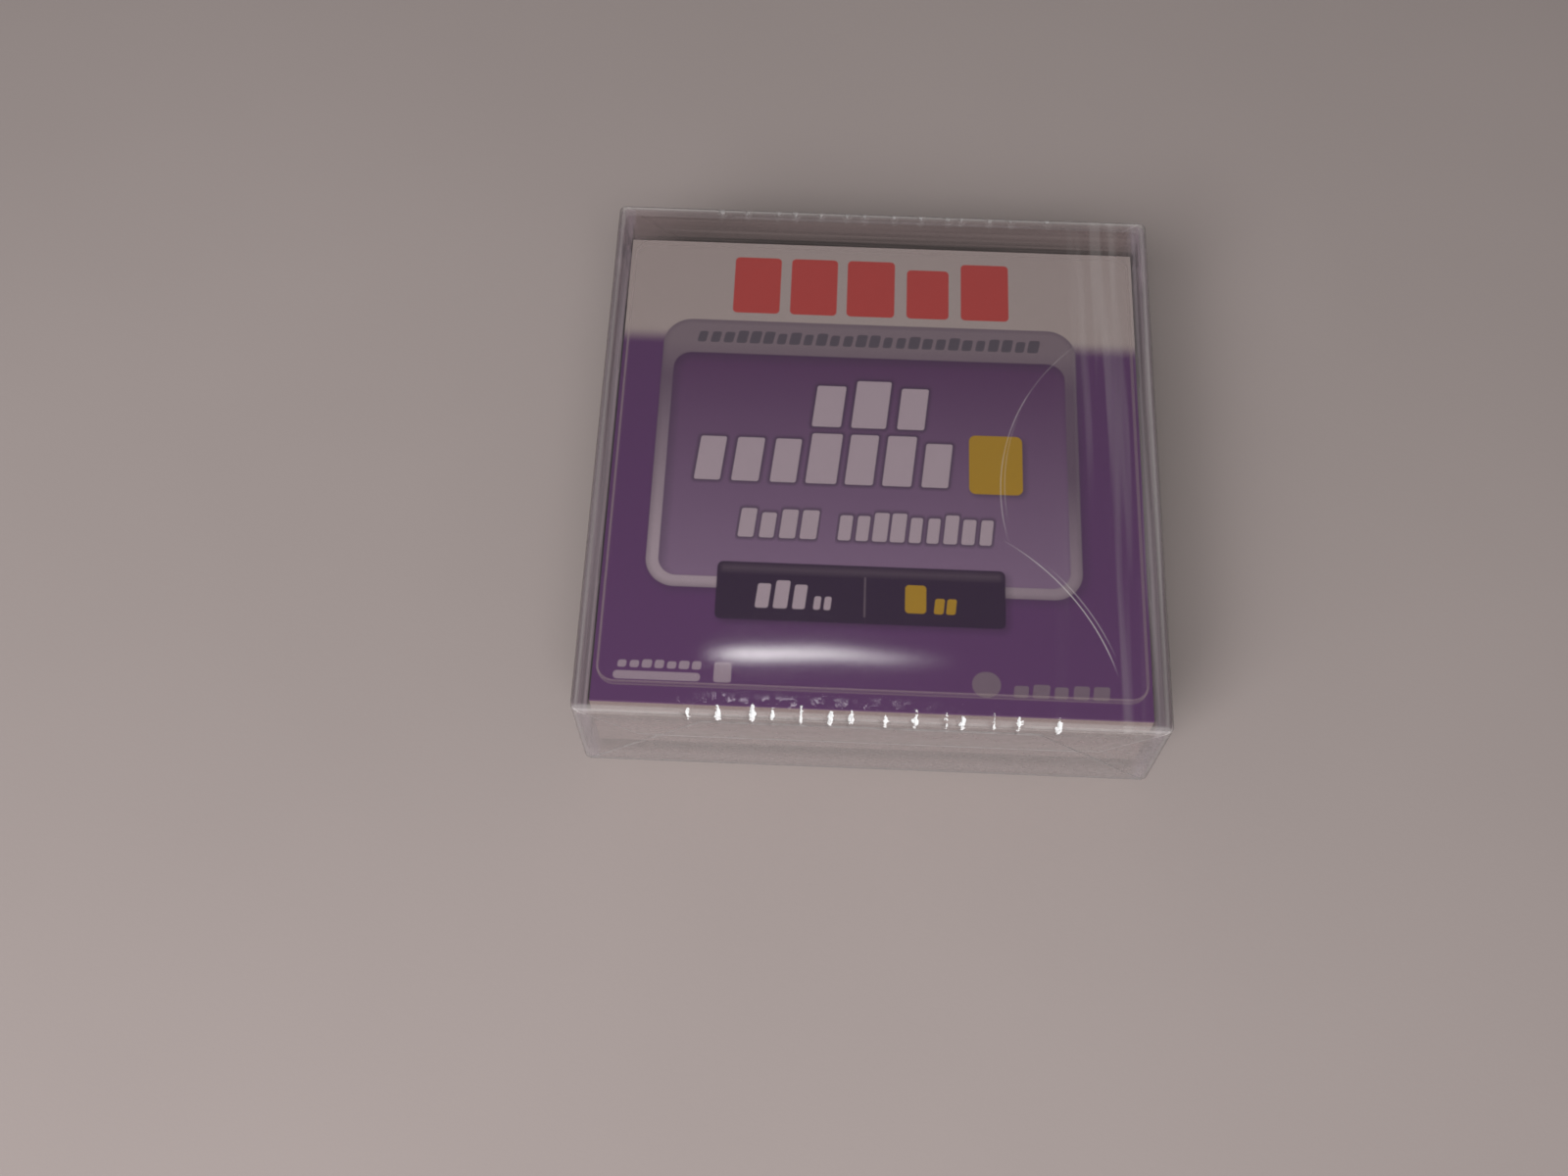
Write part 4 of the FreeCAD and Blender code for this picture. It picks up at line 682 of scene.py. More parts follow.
def film_finish(wrap):
    """Clear shrink film: taut and glossy, gathered at its top edges, creased in arcs, hazy where it laps,
    with painted highlights, glints and shade.
    """
    material, shade = new_material("shrink_film")
    place = shade.place()
    x, y, z = shade.axes(place)
    from_front = shade.minus(y, FILM_LOW.y / MM)
    from_back = shade.minus(FILM_HIGH.y / MM, y)
    from_top = shade.minus(FILM_HIGH.z / MM, z)
    front_rim = shade.plus(from_front, from_top)
    rim = shade.least(front_rim, shade.plus(from_back, from_top, 0.5))
    side = shade.ranged(from_top, 1.0, 3.0)
    on_end = end_wall(shade, y)

    gather, painted_glint = gathers(shade, wrap, place, x, rim, from_front)
    crease_and_highlight = creases(shade, place, x, y, from_top)
    lap_haze_and_fold_highlight = shade.times(fold_laps(shade, wrap, x, z), on_end)
    painted_shade_line, painted_highlight_line = edge_lines(shade, place, front_rim)
    slow = shade.noise(shade.stretched(place, (1.0, 0.6, 1.0)), 0.03, 1.0, 0.4)
    waves = shade.noise(shade.stretched(place, (1.0, 0.5, 1.6)), 0.35, 3.0, 0.6)
    loose = shade.ranged(rim, 1.0, 6.0, 1.0, 0.0, "SMOOTHSTEP")
    # Painted sheen: lighter streaks of milk on the right, where ripples in the film catch the light.
    ripple = shade.noise(shade.stretched(place, (1.0, 0.03, 1.0)), 0.5, 1.0, 0.5)
    right = shade.ranged(x, 34.0, 46.0, 0.0, 1.0, "SMOOTHSTEP")
    painted_ripple_sheen = shade.times(shade.ranged(ripple, 0.42, 0.66, 0.0, 1.0, "SMOOTHSTEP"), right)

    height = shade.times(slow, 0.05)
    for part, depth in ((shade.times(waves, loose), 0.07), (shade.times(waves, side), 0.12), (gather, -0.6),
                        (crease_and_highlight, 0.06)):
        height = shade.times_plus(part, depth, height)
    normal = shade.bumped(height, 1.0 * MM)

    # Milk over the film: haze where film lies in layers, with painted light in it: sheen on the ripples,
    # highlights along creases, flap edges and the pack's edges, and glints on the gathers.
    haze = shade.times_plus(painted_ripple_sheen, 0.10, 0.012)
    for part, share in ((crease_and_highlight, 0.5), (painted_highlight_line, 1.0), (lap_haze_and_fold_highlight, shade.ranged(waves, 0.35, 0.65, 0.3, 1.0)),
                        (painted_glint, 0.9), (shade.times(side, on_end), 0.34), (side, 0.06)):
        haze = shade.times_plus(part, share, haze)
    haze = shade.plus(haze, 0.0, clamp=True)
    # The walls take the darker milk, as painted shade, and the gathers near-white milk, as painted glints.
    cloud = shade.colours(side, wrap.haze, wrap.painted_shade_wall_haze)
    cloud = shade.colours(painted_glint, cloud, wrap.painted_glint)
    milk = shade.principled(Base_Color=cloud, Roughness=0.35, Normal=normal)
    shine = shade.times(shade.wall_shine(PLASTIC_IOR, normal), 1.3, clamp=True)
    sheet = shade.layered(shine, shade.clear(wrap.film_colour), shade.mirror(0.035, normal))
    # Painted shade: a thin dark line along the edges, all but at the front.
    shaded = shade.principled(Base_Color=wrap.painted_edge_shade, Roughness=0.3, Normal=normal)
    film = shade.layered(painted_shade_line, shade.layered(haze, sheet, milk), shaded)
    shade.output(shade.lamps_pass(film))
    return material


class TAPE_OT_wrap(bpy.types.Operator):
    """Makes the overwrap film with its end folds and seam"""
    bl_idname = "tape.wrap"
    bl_label = "Overwrap Film"

    def execute(self, context):
        wrap = context.scene.tape_wrap
        film, low, high = film_sheet(wrap)
        end_folds(film, wrap, low, high)
        long_seam(film, wrap, low)
        pucker(film, wrap, low, high)
        bpy.ops.mesh.select_all(action="SELECT")
        bpy.ops.mesh.normals_make_consistent(inside=False)
        bpy.ops.object.mode_set(mode="OBJECT")
        all_deselected()
        film.select_set(True)
        context.view_layer.objects.active = film
        bpy.ops.object.shade_smooth_by_angle(angle=math.radians(40))
        film.data.materials.clear()
        film.data.materials.append(film_finish(wrap))
        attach(film, "pack")
        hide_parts("overwrap_film")
        return {"FINISHED"}


# ---- case ----

def painted_step_highlight(shade, case, place):
    """Painted highlight: a bright line of milk on the moulded step round the lid's raised panel."""
    low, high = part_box("case_lid")
    low = (low + Vector((case.panel_side, case.panel_front, 0.0))) / MM
    high = (high - Vector((case.panel_side, case.panel_back, 0.0))) / MM
    middle, half = (low + high) / 2, (high - low) / 2
    step = shade.shared(GROUPS["rounded_mark"], Place=place, Centre=(middle.x, middle.y, 0.0),
                        Half=(half.x, half.y, 0.0), Corner=case.panel_corner / MM)["Distance"]
    return shade.ranged(shade.absolute(step), 0.05, 0.3, 1.0, 0.0)


def case_finish(case):
    """Clear polystyrene: glossy, hazy round the card where walls lie one behind another, with a painted
    highlight on the panel's step and a painted reflection of the card tinting the side streaks.
    """
    material, shade = new_material("clear_styrene")
    place = shade.place()
    x, _, z = shade.axes(place)
    flow = shade.noise(shade.stretched(place, (1.0, 0.5, 1.0)), 0.03, 1.0, 0.5)
    normal = shade.bumped(flow, 0.06 * MM)

    middle, half = (CARD_LOW + CARD_HIGH) / 2 / MM, (CARD_HIGH - CARD_LOW) / 2 / MM
    card_edge = shade.shared(GROUPS["rounded_mark"], Place=place, Centre=(middle.x, middle.y, 0.0),
                             Half=(half.x, half.y, 0.0), Corner=0.4)["Distance"]
    border = shade.ranged(card_edge, 0.1, 0.5)
    beside = shade.ranged(shade.absolute(x), half.x, half.x + 0.2)
    streaks = shade.noise(shade.stretched(place, (1.0, 0.01, 0.1)), 1.3, 2.0, 0.6)
    bars = shade.noise(shade.stretched(place, (0.01, 1.0, 0.1)), 1.0, 2.0, 0.6)
    grain = shade.plus(shade.times(streaks, beside), shade.times(bars, shade.minus(1.0, beside)))
    foot = shade.ranged(z, 3.5, 6.0, 0.22, 0.0)
    facing = shade.filled(shade.add("ShaderNodeLayerWeight"), Blend=0.4)["Facing"]

    haze = shade.times_plus(shade.times(border, shade.ranged(grain, 0.42, 0.6)), 0.16, 0.006)
    haze = shade.times_plus(border, shade.plus(foot, 0.05), haze)
    haze = shade.times_plus(shade.times(facing, border), 0.12, haze)
    # Painted highlight along the panel's step.
    haze = shade.times_plus(painted_step_highlight(shade, case, place), 0.30, haze, clamp=True)
    # Side streaks are real haze, tinted pink as a painted reflection of the card's print.
    cloud = shade.colours(beside, case.end_haze, case.side_haze_and_reflection)
    milk = shade.principled(Base_Color=cloud, Roughness=0.4, Normal=normal)
    tint = shade.colours(border, case.clear, case.rim_clear)
    wall = shade.layered(shade.wall_shine(PLASTIC_IOR, normal), shade.clear(tint), shade.mirror(0.04, normal))
    shade.output(shade.lamps_pass(shade.layered(haze, wall, milk)))
    return material


class TAPE_OT_case(bpy.types.Operator):
    """Gives the case's base and lid their clear finish"""
    bl_idname = "tape.case"
    bl_label = "Clear Case"

    def execute(self, context):
        finish = case_finish(context.scene.tape_case)
        for name in ("case_base", "case_lid"):
            dress(name, finish)
        return {"FINISHED"}


# ---- printed card ----

# The print's layout: left, right, foot and head of each area, in mm from the print's middle.
HEAD_BLOCKS = (-31.6, 29.8, 32.4, 46.4)
SLOGAN = (-37.8, 35.4, 24.9, 27.9)
FRAME = (-44.7, 42.8, -31.3, 30.4)
FRAME_LIGHT = (-44.2, 42.3, -30.8, 29.9)
PANEL = (-42.2, 40.4, -28.9, 22.3)
PANEL_LIGHT = (-41.4, 41.2, -29.9, 21.2)
TITLES = (((-13.3, 13.0, 5.6, 16.7), 3), ((-36.9, 17.6, -7.5, 4.0), 7),
          ((-26.8, -10.0, -20.0, -13.6), 4), ((-6.6, 25.5, -20.0, -13.6), 9))
NUMERAL = (20.2, 31.2, -8.6, 4.8)
DARK_BOX = (-30.2, 27.3, -37.8, -25.5)
BOX_SHINE = (-29.4, 26.5, -27.6, -26.1)
DIVIDER = (-0.8, -0.4, -36.4, -27.9)
BOX_TITLES = (((-22.6, -11.6, -35.2, -29.2), 3), ((-11.0, -6.9, -35.2, -31.9), 2))
BOX_NUMERAL = (7.4, 11.6, -35.2, -29.2)
BOX_UNIT = (13.0, 17.8, -35.2, -31.9)
LEFT_BAR = (-49.2, -32.2, -51.0, -49.3)
LEFT_BLOCK = (-29.6, -26.2, -51.0, -46.9)
LEFT_BLOCKS = (-48.8, -31.8, -48.6, -46.9)
RIGHT_DISC = (20.6, 26.2, -52.0, -46.8)
RIGHT_BLOCKS = (28.2, 47.6, -51.8, -49.0)
SHADOW = (0.03, 0.018, 0.04, 1.0)
PRINT_SHIFT = (1.1, -0.4, 0.0)
PRINT_STRETCH = (1.019, 0.992, 1.0)


class Inks:
    """Lays fields of ink over one another, at places in the print's own frame."""

    def __init__(self, shade, place, ground):
        self.shade = shade
        self.place = place
        self.colour = ground

    def sized(self, area, shift=0.0):
        left, right, foot, head = area
        return {"Place": self.place, "Centre": ((left + right) / 2 + shift, (foot + head) / 2 - shift, 0.0),
                "Half": ((right - left) / 2, (head - foot) / 2, 0.0)}

    def box(self, area, corner=0.8, blur=0.25, shift=0.0):
        """Mask of a rounded rectangle."""
        mark = self.shade.shared(GROUPS["rounded_mark"], Corner=corner, Blur=blur, **self.sized(area, shift))
        return mark["Mask"]

    def blocks(self, area, count, slant=0.1, corner=0.5):
        """Mask of a row of plain blocks, and of the shadow round them."""
        pitch = (area[1] - area[0]) / count
        return self.shade.shared(GROUPS["block_row"], Pitch=pitch, Gap=0.16, Slant=slant, Uneven=1.0,
                                 Corner=corner, **self.sized(area))

    def lay(self, mask, ink, strength=1.0):
        if strength != 1.0:
            mask = self.shade.times(mask, strength)
        self.colour = self.shade.colours(mask, self.colour, ink)


def toned(colour, factor):
    """A colour value made darker or lighter."""
    return tuple(channel * factor for channel in colour[:3]) + (1.0,)


def print_frame(shade, inks, card, fade, x, y):
    """Silver frame with soft edges, and in it a panel that is lighter at its foot."""
    inks.lay(shade.times(inks.box(FRAME, 6.0, 3.0, 0.7), 0.45, fade), SHADOW)
    slope = shade.times_plus(x, 0.25, y)
    silver = shade.colours(shade.ranged(slope, -34.0, 6.0), toned(card.pale, 0.95), card.frame_shade)
    silver = shade.colours(shade.ranged(y, 16.0, 25.0), silver, card.silver)
    outer = shade.minus(1.0, inks.box(FRAME_LIGHT, 5.6, 1.4))
    silver = shade.colours(shade.times(outer, 0.5), silver, toned(card.frame_shade, 0.8))
    inks.lay(inks.box(FRAME, 6.0, 0.3), silver)
    panel = shade.colours(shade.ranged(y, -29.0, 20.0), card.panel_light, card.panel_dark)
    outer = shade.minus(1.0, inks.box(PANEL_LIGHT, 3.6, 3.0))
    inks.lay(inks.box(PANEL, 3.8, 0.3), shade.colours(shade.times(outer, 0.55), panel, SHADOW))


def print_words(inks, card):
    """Plain blocks where the head's, the slogan's and the panel's words would be."""
    inks.lay(inks.blocks(HEAD_BLOCKS, 5, 0.0, 1.0)["Mask"], card.red)
    inks.lay(inks.blocks(SLOGAN, 26, 0.2)["Mask"], card.slogan, 0.8)
    for area, count in TITLES:
        line = inks.blocks(area, count)
        inks.lay(line["Halo"], SHADOW, 0.6)
        inks.lay(line["Mask"], card.pale)
    inks.lay(inks.box(NUMERAL, 1.6, 1.8, 0.5), SHADOW, 0.6)
    inks.lay(inks.box(NUMERAL, 1.4), card.yellow)


def print_dark_box(inks, card):
    """Dark box over the frame's foot, with a line down its middle and blocks on either side."""
    inks.lay(inks.box(DARK_BOX, 1.4, 2.2, 0.7), toned(card.ink, 0.5), 0.5)
    inks.lay(inks.box(DARK_BOX, 1.2, 0.3), card.ink)
    inks.lay(inks.box(BOX_SHINE, 0.6, 1.2), card.silver, 0.25)
    inks.lay(inks.box(DIVIDER, 0.1), card.silver, 0.5)
    for area, count in BOX_TITLES:
        inks.lay(inks.blocks(area, count)["Mask"], card.pale)
    inks.lay(inks.box(BOX_NUMERAL), card.yellow)
    inks.lay(inks.blocks(BOX_UNIT, 2)["Mask"], card.yellow)


def print_corner_marks(shade, inks, card):
    """Plain marks in the two front corners."""
    left = shade.most(inks.box(LEFT_BAR), inks.box(LEFT_BLOCK, 0.6), inks.blocks(LEFT_BLOCKS, 7)["Mask"])
    inks.lay(left, card.pale, 0.75)
    right = shade.most(inks.box(RIGHT_DISC, 2.6), inks.blocks(RIGHT_BLOCKS, 5)["Mask"])
    inks.lay(right, card.silver, 0.8)


def card_finish(card):
    """Coated card: white head, one large field, a framed panel and plain blocks where words would be."""
    material, shade = new_material("printed_card")
    place = shade.stretched(shade.vector("ADD", shade.place(), PRINT_SHIFT), PRINT_STRETCH)
    x, y, z = shade.axes(place)
    fade = shade.ranged(y, 24.0, 28.4, 1.0, 0.0, "SMOOTHSTEP")
    top_face = shade.ranged(z, CARD_HIGH.z / MM - 0.6, CARD_HIGH.z / MM - 0.1)
    field = shade.colours(shade.ranged(y, -55.0, 20.0), card.field, toned(card.field, 0.9))
    inks = Inks(shade, place, shade.colours(shade.times(fade, top_face), card.paper, field))
    print_frame(shade, inks, card, fade, x, y)
    print_words(inks, card)
    print_dark_box(inks, card)
    print_corner_marks(shade, inks, card)

    screen = shade.noise(place, 4.0, 2.0, 0.6)
    mottled = shade.colours(1.0, inks.colour, shade.ranged(screen, 0.3, 0.7, 0.97, 1.03), "MULTIPLY")
    curl = shade.noise(shade.stretched(place, (1.0, 0.3, 1.0)), 0.03, 1.0, 0.4)
    normal = shade.bumped(shade.times_plus(screen, 0.004, curl), 0.8 * MM, 0.5)
    shade.output(shade.principled(Base_Color=mottled, Roughness=shade.ranged(screen, 0.3, 0.7, 0.32, 0.42),
                                  Specular_IOR_Level=0.4, Normal=normal))
    return material


def card_sheet(card):
    """A panel with a spine folded down at the front, sagging a little in the middle."""
    top = CARD_HIGH.z - card.clearance
    low = (CARD_LOW.x, CARD_LOW.y, top - card.thickness)
    sheet = blank("insert_print", low, (CARD_HIGH.x, CARD_HIGH.y, top))
    bpy.ops.object.mode_set(mode="EDIT")
    fold = CARD_LOW.y + card.thickness
    slice_mesh(1, (fold,))
    pick(sheet, "FACE",
         lambda middle, spread: spread.z < TINY and middle.y < fold and middle.z < low[2] + TINY)
    bpy.ops.mesh.extrude_region_move(TRANSFORM_OT_translate={"value": (0.0, 0.0, CARD_LOW.z - low[2])})
    pick(sheet, "EDGE", lambda middle, spread: middle.y < CARD_LOW.y + TINY and middle.z > top - TINY)
    bpy.ops.mesh.bevel(offset=card.thickness * 0.9, segments=3, affect="EDGES")
    slice_mesh(0, steps(CARD_LOW.x, CARD_HIGH.x, 9))
    slice_mesh(1, steps(fold, CARD_HIGH.y, 9))
    pick(sheet, "VERT", lambda point, spread: point.xy.length < 12 * MM)
    bpy.ops.transform.translate(value=(0.0, 0.0, -card.sag), use_proportional_edit=True,
                                proportional_edit_falloff="SMOOTH", proportional_size=45 * MM)
    bpy.ops.object.mode_set(mode="OBJECT")
    return sheet


class TAPE_OT_card(bpy.types.Operator):
    """Makes the printed insert card"""
    bl_idname = "tape.card"
    bl_label = "Printed Card"

    def execute(self, context):
        card = context.scene.tape_card
        sheet = card_sheet(card)
        all_deselected()
        sheet.select_set(True)
        context.view_layer.objects.active = sheet
        bpy.ops.object.shade_smooth_by_angle(angle=math.radians(35))
        sheet.data.materials.clear()
        sheet.data.materials.append(card_finish(card))
        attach(sheet, "pack")
        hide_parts("insert_card")
        return {"FINISHED"}


# ---- cartridge, reel and small parts ----

def plastic_finish(name, colour, roughness, grain=3.0, depth=0.012, scuffs=0.25, shine=0.5):
    material, shade = new_material(name)
    surface = shade.shared(GROUPS["moulded_grain"], Place=shade.place(), Colour=colour, Grain=grain,
                           Depth=depth * MM, Roughness=roughness, Scuffs=scuffs)
    shade.output(shade.principled(Base_Color=surface["Colour"], Roughness=surface["Roughness"],
                                  Normal=surface["Normal"], Specular_IOR_Level=shine))
    return material


def steel_finish(name, colour, roughness):
    material, shade = new_material(name)
    surface = shade.shared(GROUPS["steel_wear"], Place=shade.place(), Colour=colour, Roughness=roughness)
    shade.output(shade.principled(Base_Color=surface["Colour"], Metallic=1.0, Roughness=surface["Roughness"],
                                  Normal=surface["Normal"]))
    return material


def tape_finish(colour):
    """Wound tape: the turns' edges as fine rings, with a few that stand apart."""
    material, shade = new_material("wound_tape")
    place = shade.place((HUB_LOW + HUB_HIGH) / 2)
    radius = shade.vector("LENGTH", shade.stretched(place, (1.0, 1.0, 0.0)))
    rings = shade.combined(X=radius)
    fine = shade.noise(rings, 6.0, 3.0, 0.7)
    wide = shade.noise(rings, 0.35, 3.0, 0.6)
    tone = shade.times(shade.ranged(fine, 0.3, 0.7, 0.75, 1.25), shade.ranged(wide, 0.3, 0.7, 0.8, 1.2))
    wound = shade.colours(1.0, colour, tone, "MULTIPLY")
    normal = shade.bumped(shade.times_plus(wide, 2.0, fine), 0.02 * MM, 0.8)
    shade.output(shade.principled(Base_Color=wound, Roughness=shade.ranged(fine, 0.3, 0.7, 0.18, 0.34),
                                  Coat_Weight=0.3, Coat_Roughness=0.15, Normal=normal))
    return material


def flange_finish(colour):
    """Lightly frosted flange that shows the tape through it."""
    material, shade = new_material("frosted_flange")
    frost = shade.noise(shade.place(), 2.5, 3.0, 0.6)
    body = shade.principled(Base_Color=colour, Roughness=shade.ranged(frost, 0.3, 0.7, 0.2, 0.32),
                            Normal=shade.bumped(frost, 0.01 * MM))
    through = shade.clear((0.9, 0.9, 0.9, 1.0))
    shade.output(shade.layered(shade.ranged(frost, 0.3, 0.7, 0.42, 0.5), through, body))
    return material


def chip_finish(parts):
    """Black moulded chip on a green board, with the aerial's turns showing as fine lines."""
    material, shade = new_material("memory_board")
    low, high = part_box("memory_chip")
    place = shade.place((low + high) / 2)
    mark = GROUPS["rounded_mark"]
    block = shade.shared(mark, Place=place, Half=(2.2, 1.4, 0.0), Corner=0.3, Blur=0.1)["Mask"]
    outer = shade.shared(mark, Place=place, Half=(6.2, 2.4, 0.0), Corner=1.0, Blur=0.1)["Mask"]
    lines = shade.ranged(shade.maths("SINE", shade.times(shade.axes(place)["Y"], 14.0)), 0.2, 0.5)
    mottle = shade.ranged(shade.noise(place, 2.0), 0.3, 0.7, 0.85, 1.15)
    board = shade.colours(1.0, parts.board, mottle, "MULTIPLY")
    board = shade.colours(shade.times(outer, lines), board, parts.aerial)
    colour = shade.colours(block, board, parts.chip)
    shade.output(shade.principled(Base_Color=colour, Roughness=shade.ranged(block, 0.0, 1.0, 0.3, 0.55)))
    return material


def leader_finish(parts):
    """Translucent leader, a little milky, with faint length lines."""
    material, shade = new_material("leader_film")
    lines = shade.noise(shade.stretched(shade.place(), (0.1, 0.1, 3.0)), 1.2, 3.0, 0.6)
    colour = shade.colours(shade.ranged(lines, 0.3, 0.7), parts.leader, parts.leader_light)
    shade.output(shade.principled(Base_Color=colour, Roughness=shade.ranged(lines, 0.3, 0.7, 0.22, 0.35),
                                  Coat_Weight=0.2, Coat_Roughness=0.1))
    return material


class TAPE_OT_cartridge(bpy.types.Operator):
    """Gives the cartridge's shells, screws, door, switch and chip their finishes"""
    bl_idname = "tape.cartridge"
    bl_label = "Cartridge Shells"

    def execute(self, context):
        parts = context.scene.tape_parts
        shell = plastic_finish("shell_plastic", parts.shell, 0.48, 2.6, 0.008, 0.3)
        for name in ("cartridge_lower_shell", "cartridge_upper_shell"):
            dress(name, shell)
        dress("access_door", plastic_finish("door_plastic", parts.door, 0.4, 3.0, 0.012, 0.4))
        dress("write_protect_switch", plastic_finish("switch_plastic", parts.switch, 0.35, 3.4, 0.01))
        screw = steel_finish("plated_screw", parts.screw, 0.32)
        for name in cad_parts:
            if name.startswith("shell_screw"):
                dress(name, screw)
        dress("memory_chip", chip_finish(parts))
        return {"FINISHED"}


class TAPE_OT_reel(bpy.types.Operator):
    """Gives the reel, its tape, the brake and the clutch plate their finishes"""
    bl_idname = "tape.reel"
    bl_label = "Reel And Brake"

    def execute(self, context):
        parts = context.scene.tape_parts
        dress("reel_hub", plastic_finish("hub_plastic", parts.hub, 0.38, 2.4, 0.01, 0.35))
        dress("reel_upper_flange", flange_finish(parts.flange))
        dress("tape_pack", tape_finish(parts.tape))
        dress("brake_button", plastic_finish("acetal", parts.button, 0.36, 2.8, 0.008, 0.1))
        dress("release_spider", plastic_finish("spider_acetal", parts.spider, 0.38, 2.8, 0.008, 0.1))
        dress("clutch_plate", steel_finish("clutch_steel", parts.clutch, 0.28))
        dress("brake_spring", steel_finish("spring_steel", parts.spring, 0.22))
        return {"FINISHED"}


class TAPE_OT_leader(bpy.types.Operator):
    """Gives the leader, its pin, retainer and clip and the door's spring their finishes"""
    bl_idname = "tape.leader"
    bl_label = "Leader And Pin"

    def execute(self, context):
        parts = context.scene.tape_parts
        bright = steel_finish("pin_steel", parts.pin, 0.18)
        for name in ("leader_pin", "pin_retainer", "door_spring"):
            dress(name, bright)
        dress("pin_tape_clip", plastic_finish("clip_plastic", parts.clip, 0.34, 3.0, 0.008, 0.1))
        dress("leader_tape", leader_finish(parts))
        return {"FINISHED"}


# ---- stage ----

def floor_finish(stage):
    material, shade = new_material("floor_sheet")
    place = shade.place()
    slow = shade.noise(place, 0.006, 3.0, 0.5)
    grain = shade.noise(place, 1.2, 3.0, 0.6)
    colour = shade.colours(1.0, stage.floor, shade.ranged(slow, 0.3, 0.7, 0.97, 1.03), "MULTIPLY")
    normal = shade.bumped(shade.times_plus(grain, 0.02, slow), 2.0 * MM, 0.4)
    shade.output(shade.principled(Base_Color=colour, Roughness=0.55, Specular_IOR_Level=0.3, Normal=normal))
    return material


# Lamps: place in metres, and width and depth of their face.
KEY_PLACE, KEY_SIZE = (-0.42, -0.58, 0.55), (0.40, 0.40)
FRONT_PLACE, FRONT_SIZE = (0.05, -0.60, 0.66), (0.60, 0.30)
FLOOR_SIZE = 6.0
# The narrow light, as directions of mirrored rays: its middle, its half sizes, and how far its ends droop.
STREAK_X, STREAK_Y = 0.012, 0.390
STREAK_HALF_WIDTH, STREAK_HALF_HEIGHT = 0.085, 0.0056
STREAK_DROOP = 0.004


def aimed_lamp(name, place, power, width, depth):
    """A soft lamp that lights the pack from the given place and isn't seen in its reflections."""
    all_deselected()
    bpy.ops.object.light_add(type="AREA", location=place)
    lamp = bpy.context.object
    lamp.name = name
    lamp.rotation_euler = ((FILM_LOW + FILM_HIGH) / 2 - Vector(place)).to_track_quat("-Z", "Y").to_euler()
    lamp.data.shape = "RECTANGLE"
    lamp.data.size = width
    lamp.data.size_y = depth
    lamp.data.energy = power
    lamp.visible_glossy = False


def soft_world(stage):
    """Plain surroundings, dim overhead, with one narrow soft light that the lid mirrors as a streak."""
    world = bpy.data.worlds.new("studio")
    bpy.context.scene.world = world
    world.use_nodes = True
    world.node_tree.nodes.clear()
    shade = Shade(world.node_tree)
    x, y, z = shade.axes(shade.add("ShaderNodeTexCoord").outputs["Generated"])
    level = shade.ranged(z, 0.15, 0.75, stage.surround, stage.overhead, "SMOOTHSTEP")
    across = shade.maths("DIVIDE", shade.minus(x, STREAK_X), STREAK_HALF_WIDTH)
    droop = shade.times(across, across, -STREAK_DROOP)
    off = shade.absolute(shade.minus(shade.minus(y, STREAK_Y), droop))
    upright = shade.ranged(off, 0.0, STREAK_HALF_HEIGHT, 1.0, 0.0, "SMOOTHSTEP")
    left_end = shade.ranged(across, -0.95, -0.55, 0.0, 1.0, "SMOOTHSTEP")
    right_end = shade.ranged(across, -0.5, 0.9, 1.0, 0.0, "SMOOTHSTEP")
    streak = shade.times(upright, left_end, right_end, shade.ranged(z, 0.0, 0.1))
    background = shade.filled(shade.add("ShaderNodeBackground"), Color=(1.0, 0.985, 0.97, 1.0),
                              Strength=shade.times_plus(streak, stage.streak, level))
    shade.filled(shade.add("ShaderNodeOutputWorld"), Surface=background[0])


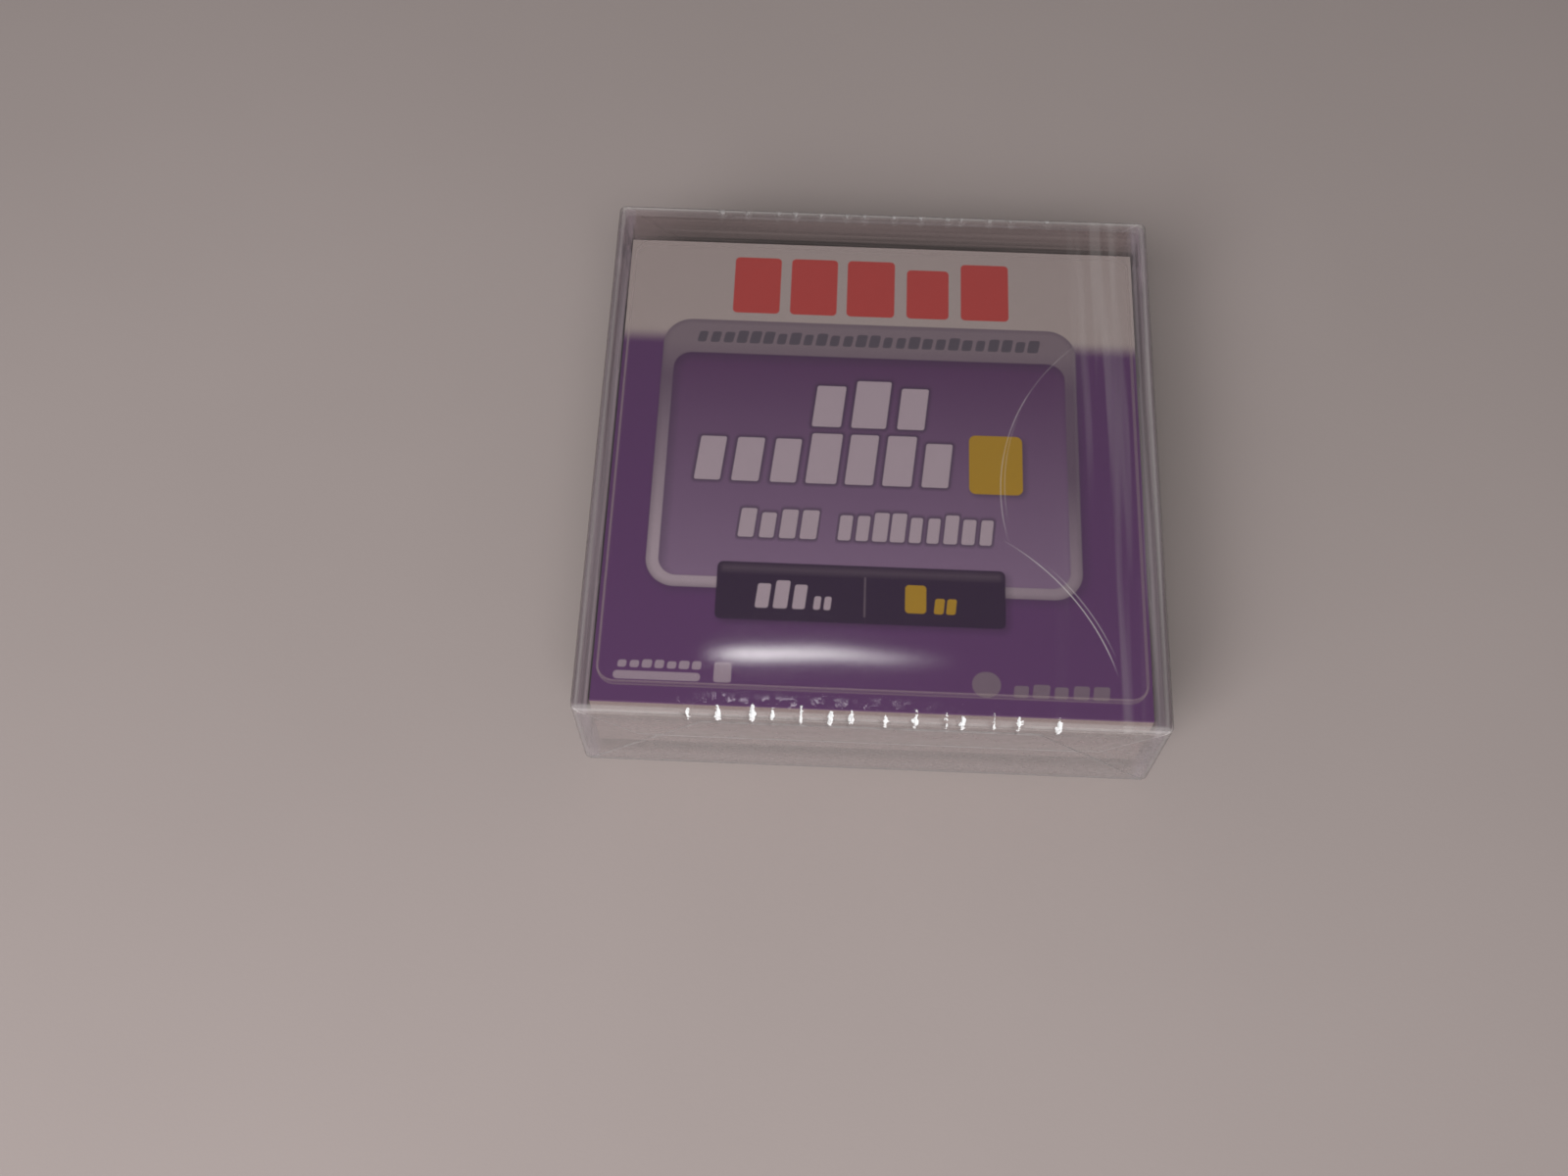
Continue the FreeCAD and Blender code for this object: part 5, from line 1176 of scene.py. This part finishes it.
class TAPE_OT_stage(bpy.types.Operator):
    """Adds the floor, the lamps and the camera"""
    bl_idname = "tape.stage"
    bl_label = "Stage"

    def execute(self, context):
        stage = context.scene.tape_stage
        context.scene.view_settings.view_transform = "Standard"
        all_deselected()
        bpy.ops.mesh.primitive_plane_add(size=FLOOR_SIZE, location=(0.0, 0.0, FILM_LOW.z))
        floor = context.object
        floor.name = "floor"
        floor.data.materials.append(floor_finish(stage))
        soft_world(stage)
        aimed_lamp("key_lamp", KEY_PLACE, stage.key_power, *KEY_SIZE)
        aimed_lamp("front_lamp", FRONT_PLACE, stage.front_power, *FRONT_SIZE)
        bpy.ops.object.camera_add(location=tuple(stage.eye),
                                  rotation=(math.pi / 2 - stage.pitch, 0.0, stage.turn))
        camera = context.object
        camera.name = "camera"
        camera.data.lens = stage.lens
        camera.data.clip_start = 0.01
        context.scene.camera = camera
        return {"FINISHED"}


# ---- panel and registration ----

OPERATORS = (TAPE_OT_wrap, TAPE_OT_case, TAPE_OT_card, TAPE_OT_cartridge, TAPE_OT_reel, TAPE_OT_leader,
             TAPE_OT_stage)


class TAPE_PT_pack(bpy.types.Panel):
    """Lists the pack's makers"""
    bl_idname = "TAPE_PT_pack"
    bl_label = "Boxed Data Tape"
    bl_space_type = "VIEW_3D"
    bl_region_type = "UI"
    bl_category = "Tape Pack"

    def draw(self, context):
        for operator in OPERATORS:
            self.layout.operator(operator.bl_idname)
        for name in VALUES:
            values = getattr(context.scene, name)
            column = self.layout.column()
            for key in values.bl_rna.properties.keys():
                if key not in ("rna_type", "name"):
                    column.prop(values, key)


VALUES = {"tape_wrap": WrapValues, "tape_case": CaseValues, "tape_card": CardValues, "tape_parts": PartValues,
          "tape_stage": StageValues}
CLASSES = tuple(VALUES.values()) + OPERATORS + (TAPE_PT_pack,)


def register():
    for each in CLASSES:
        bpy.utils.register_class(each)
    for name, values in VALUES.items():
        setattr(bpy.types.Scene, name, bpy.props.PointerProperty(type=values))


def unregister():
    for name in VALUES:
        delattr(bpy.types.Scene, name)
    for each in reversed(CLASSES):
        bpy.utils.unregister_class(each)


def main():
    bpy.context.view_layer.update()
    register()
    GROUPS["rounded_mark"] = rounded_mark_group()
    GROUPS["block_row"] = block_row_group(GROUPS["rounded_mark"])
    GROUPS["edge_distance"] = edge_distance_group()
    GROUPS["moulded_grain"] = moulded_grain_group()
    GROUPS["steel_wear"] = steel_wear_group()
    bpy.ops.tape.wrap()
    bpy.ops.tape.case()
    bpy.ops.tape.card()
    bpy.ops.tape.cartridge()
    bpy.ops.tape.reel()
    bpy.ops.tape.leader()
    bpy.ops.tape.stage()


if __name__ == "__main__":
    main()
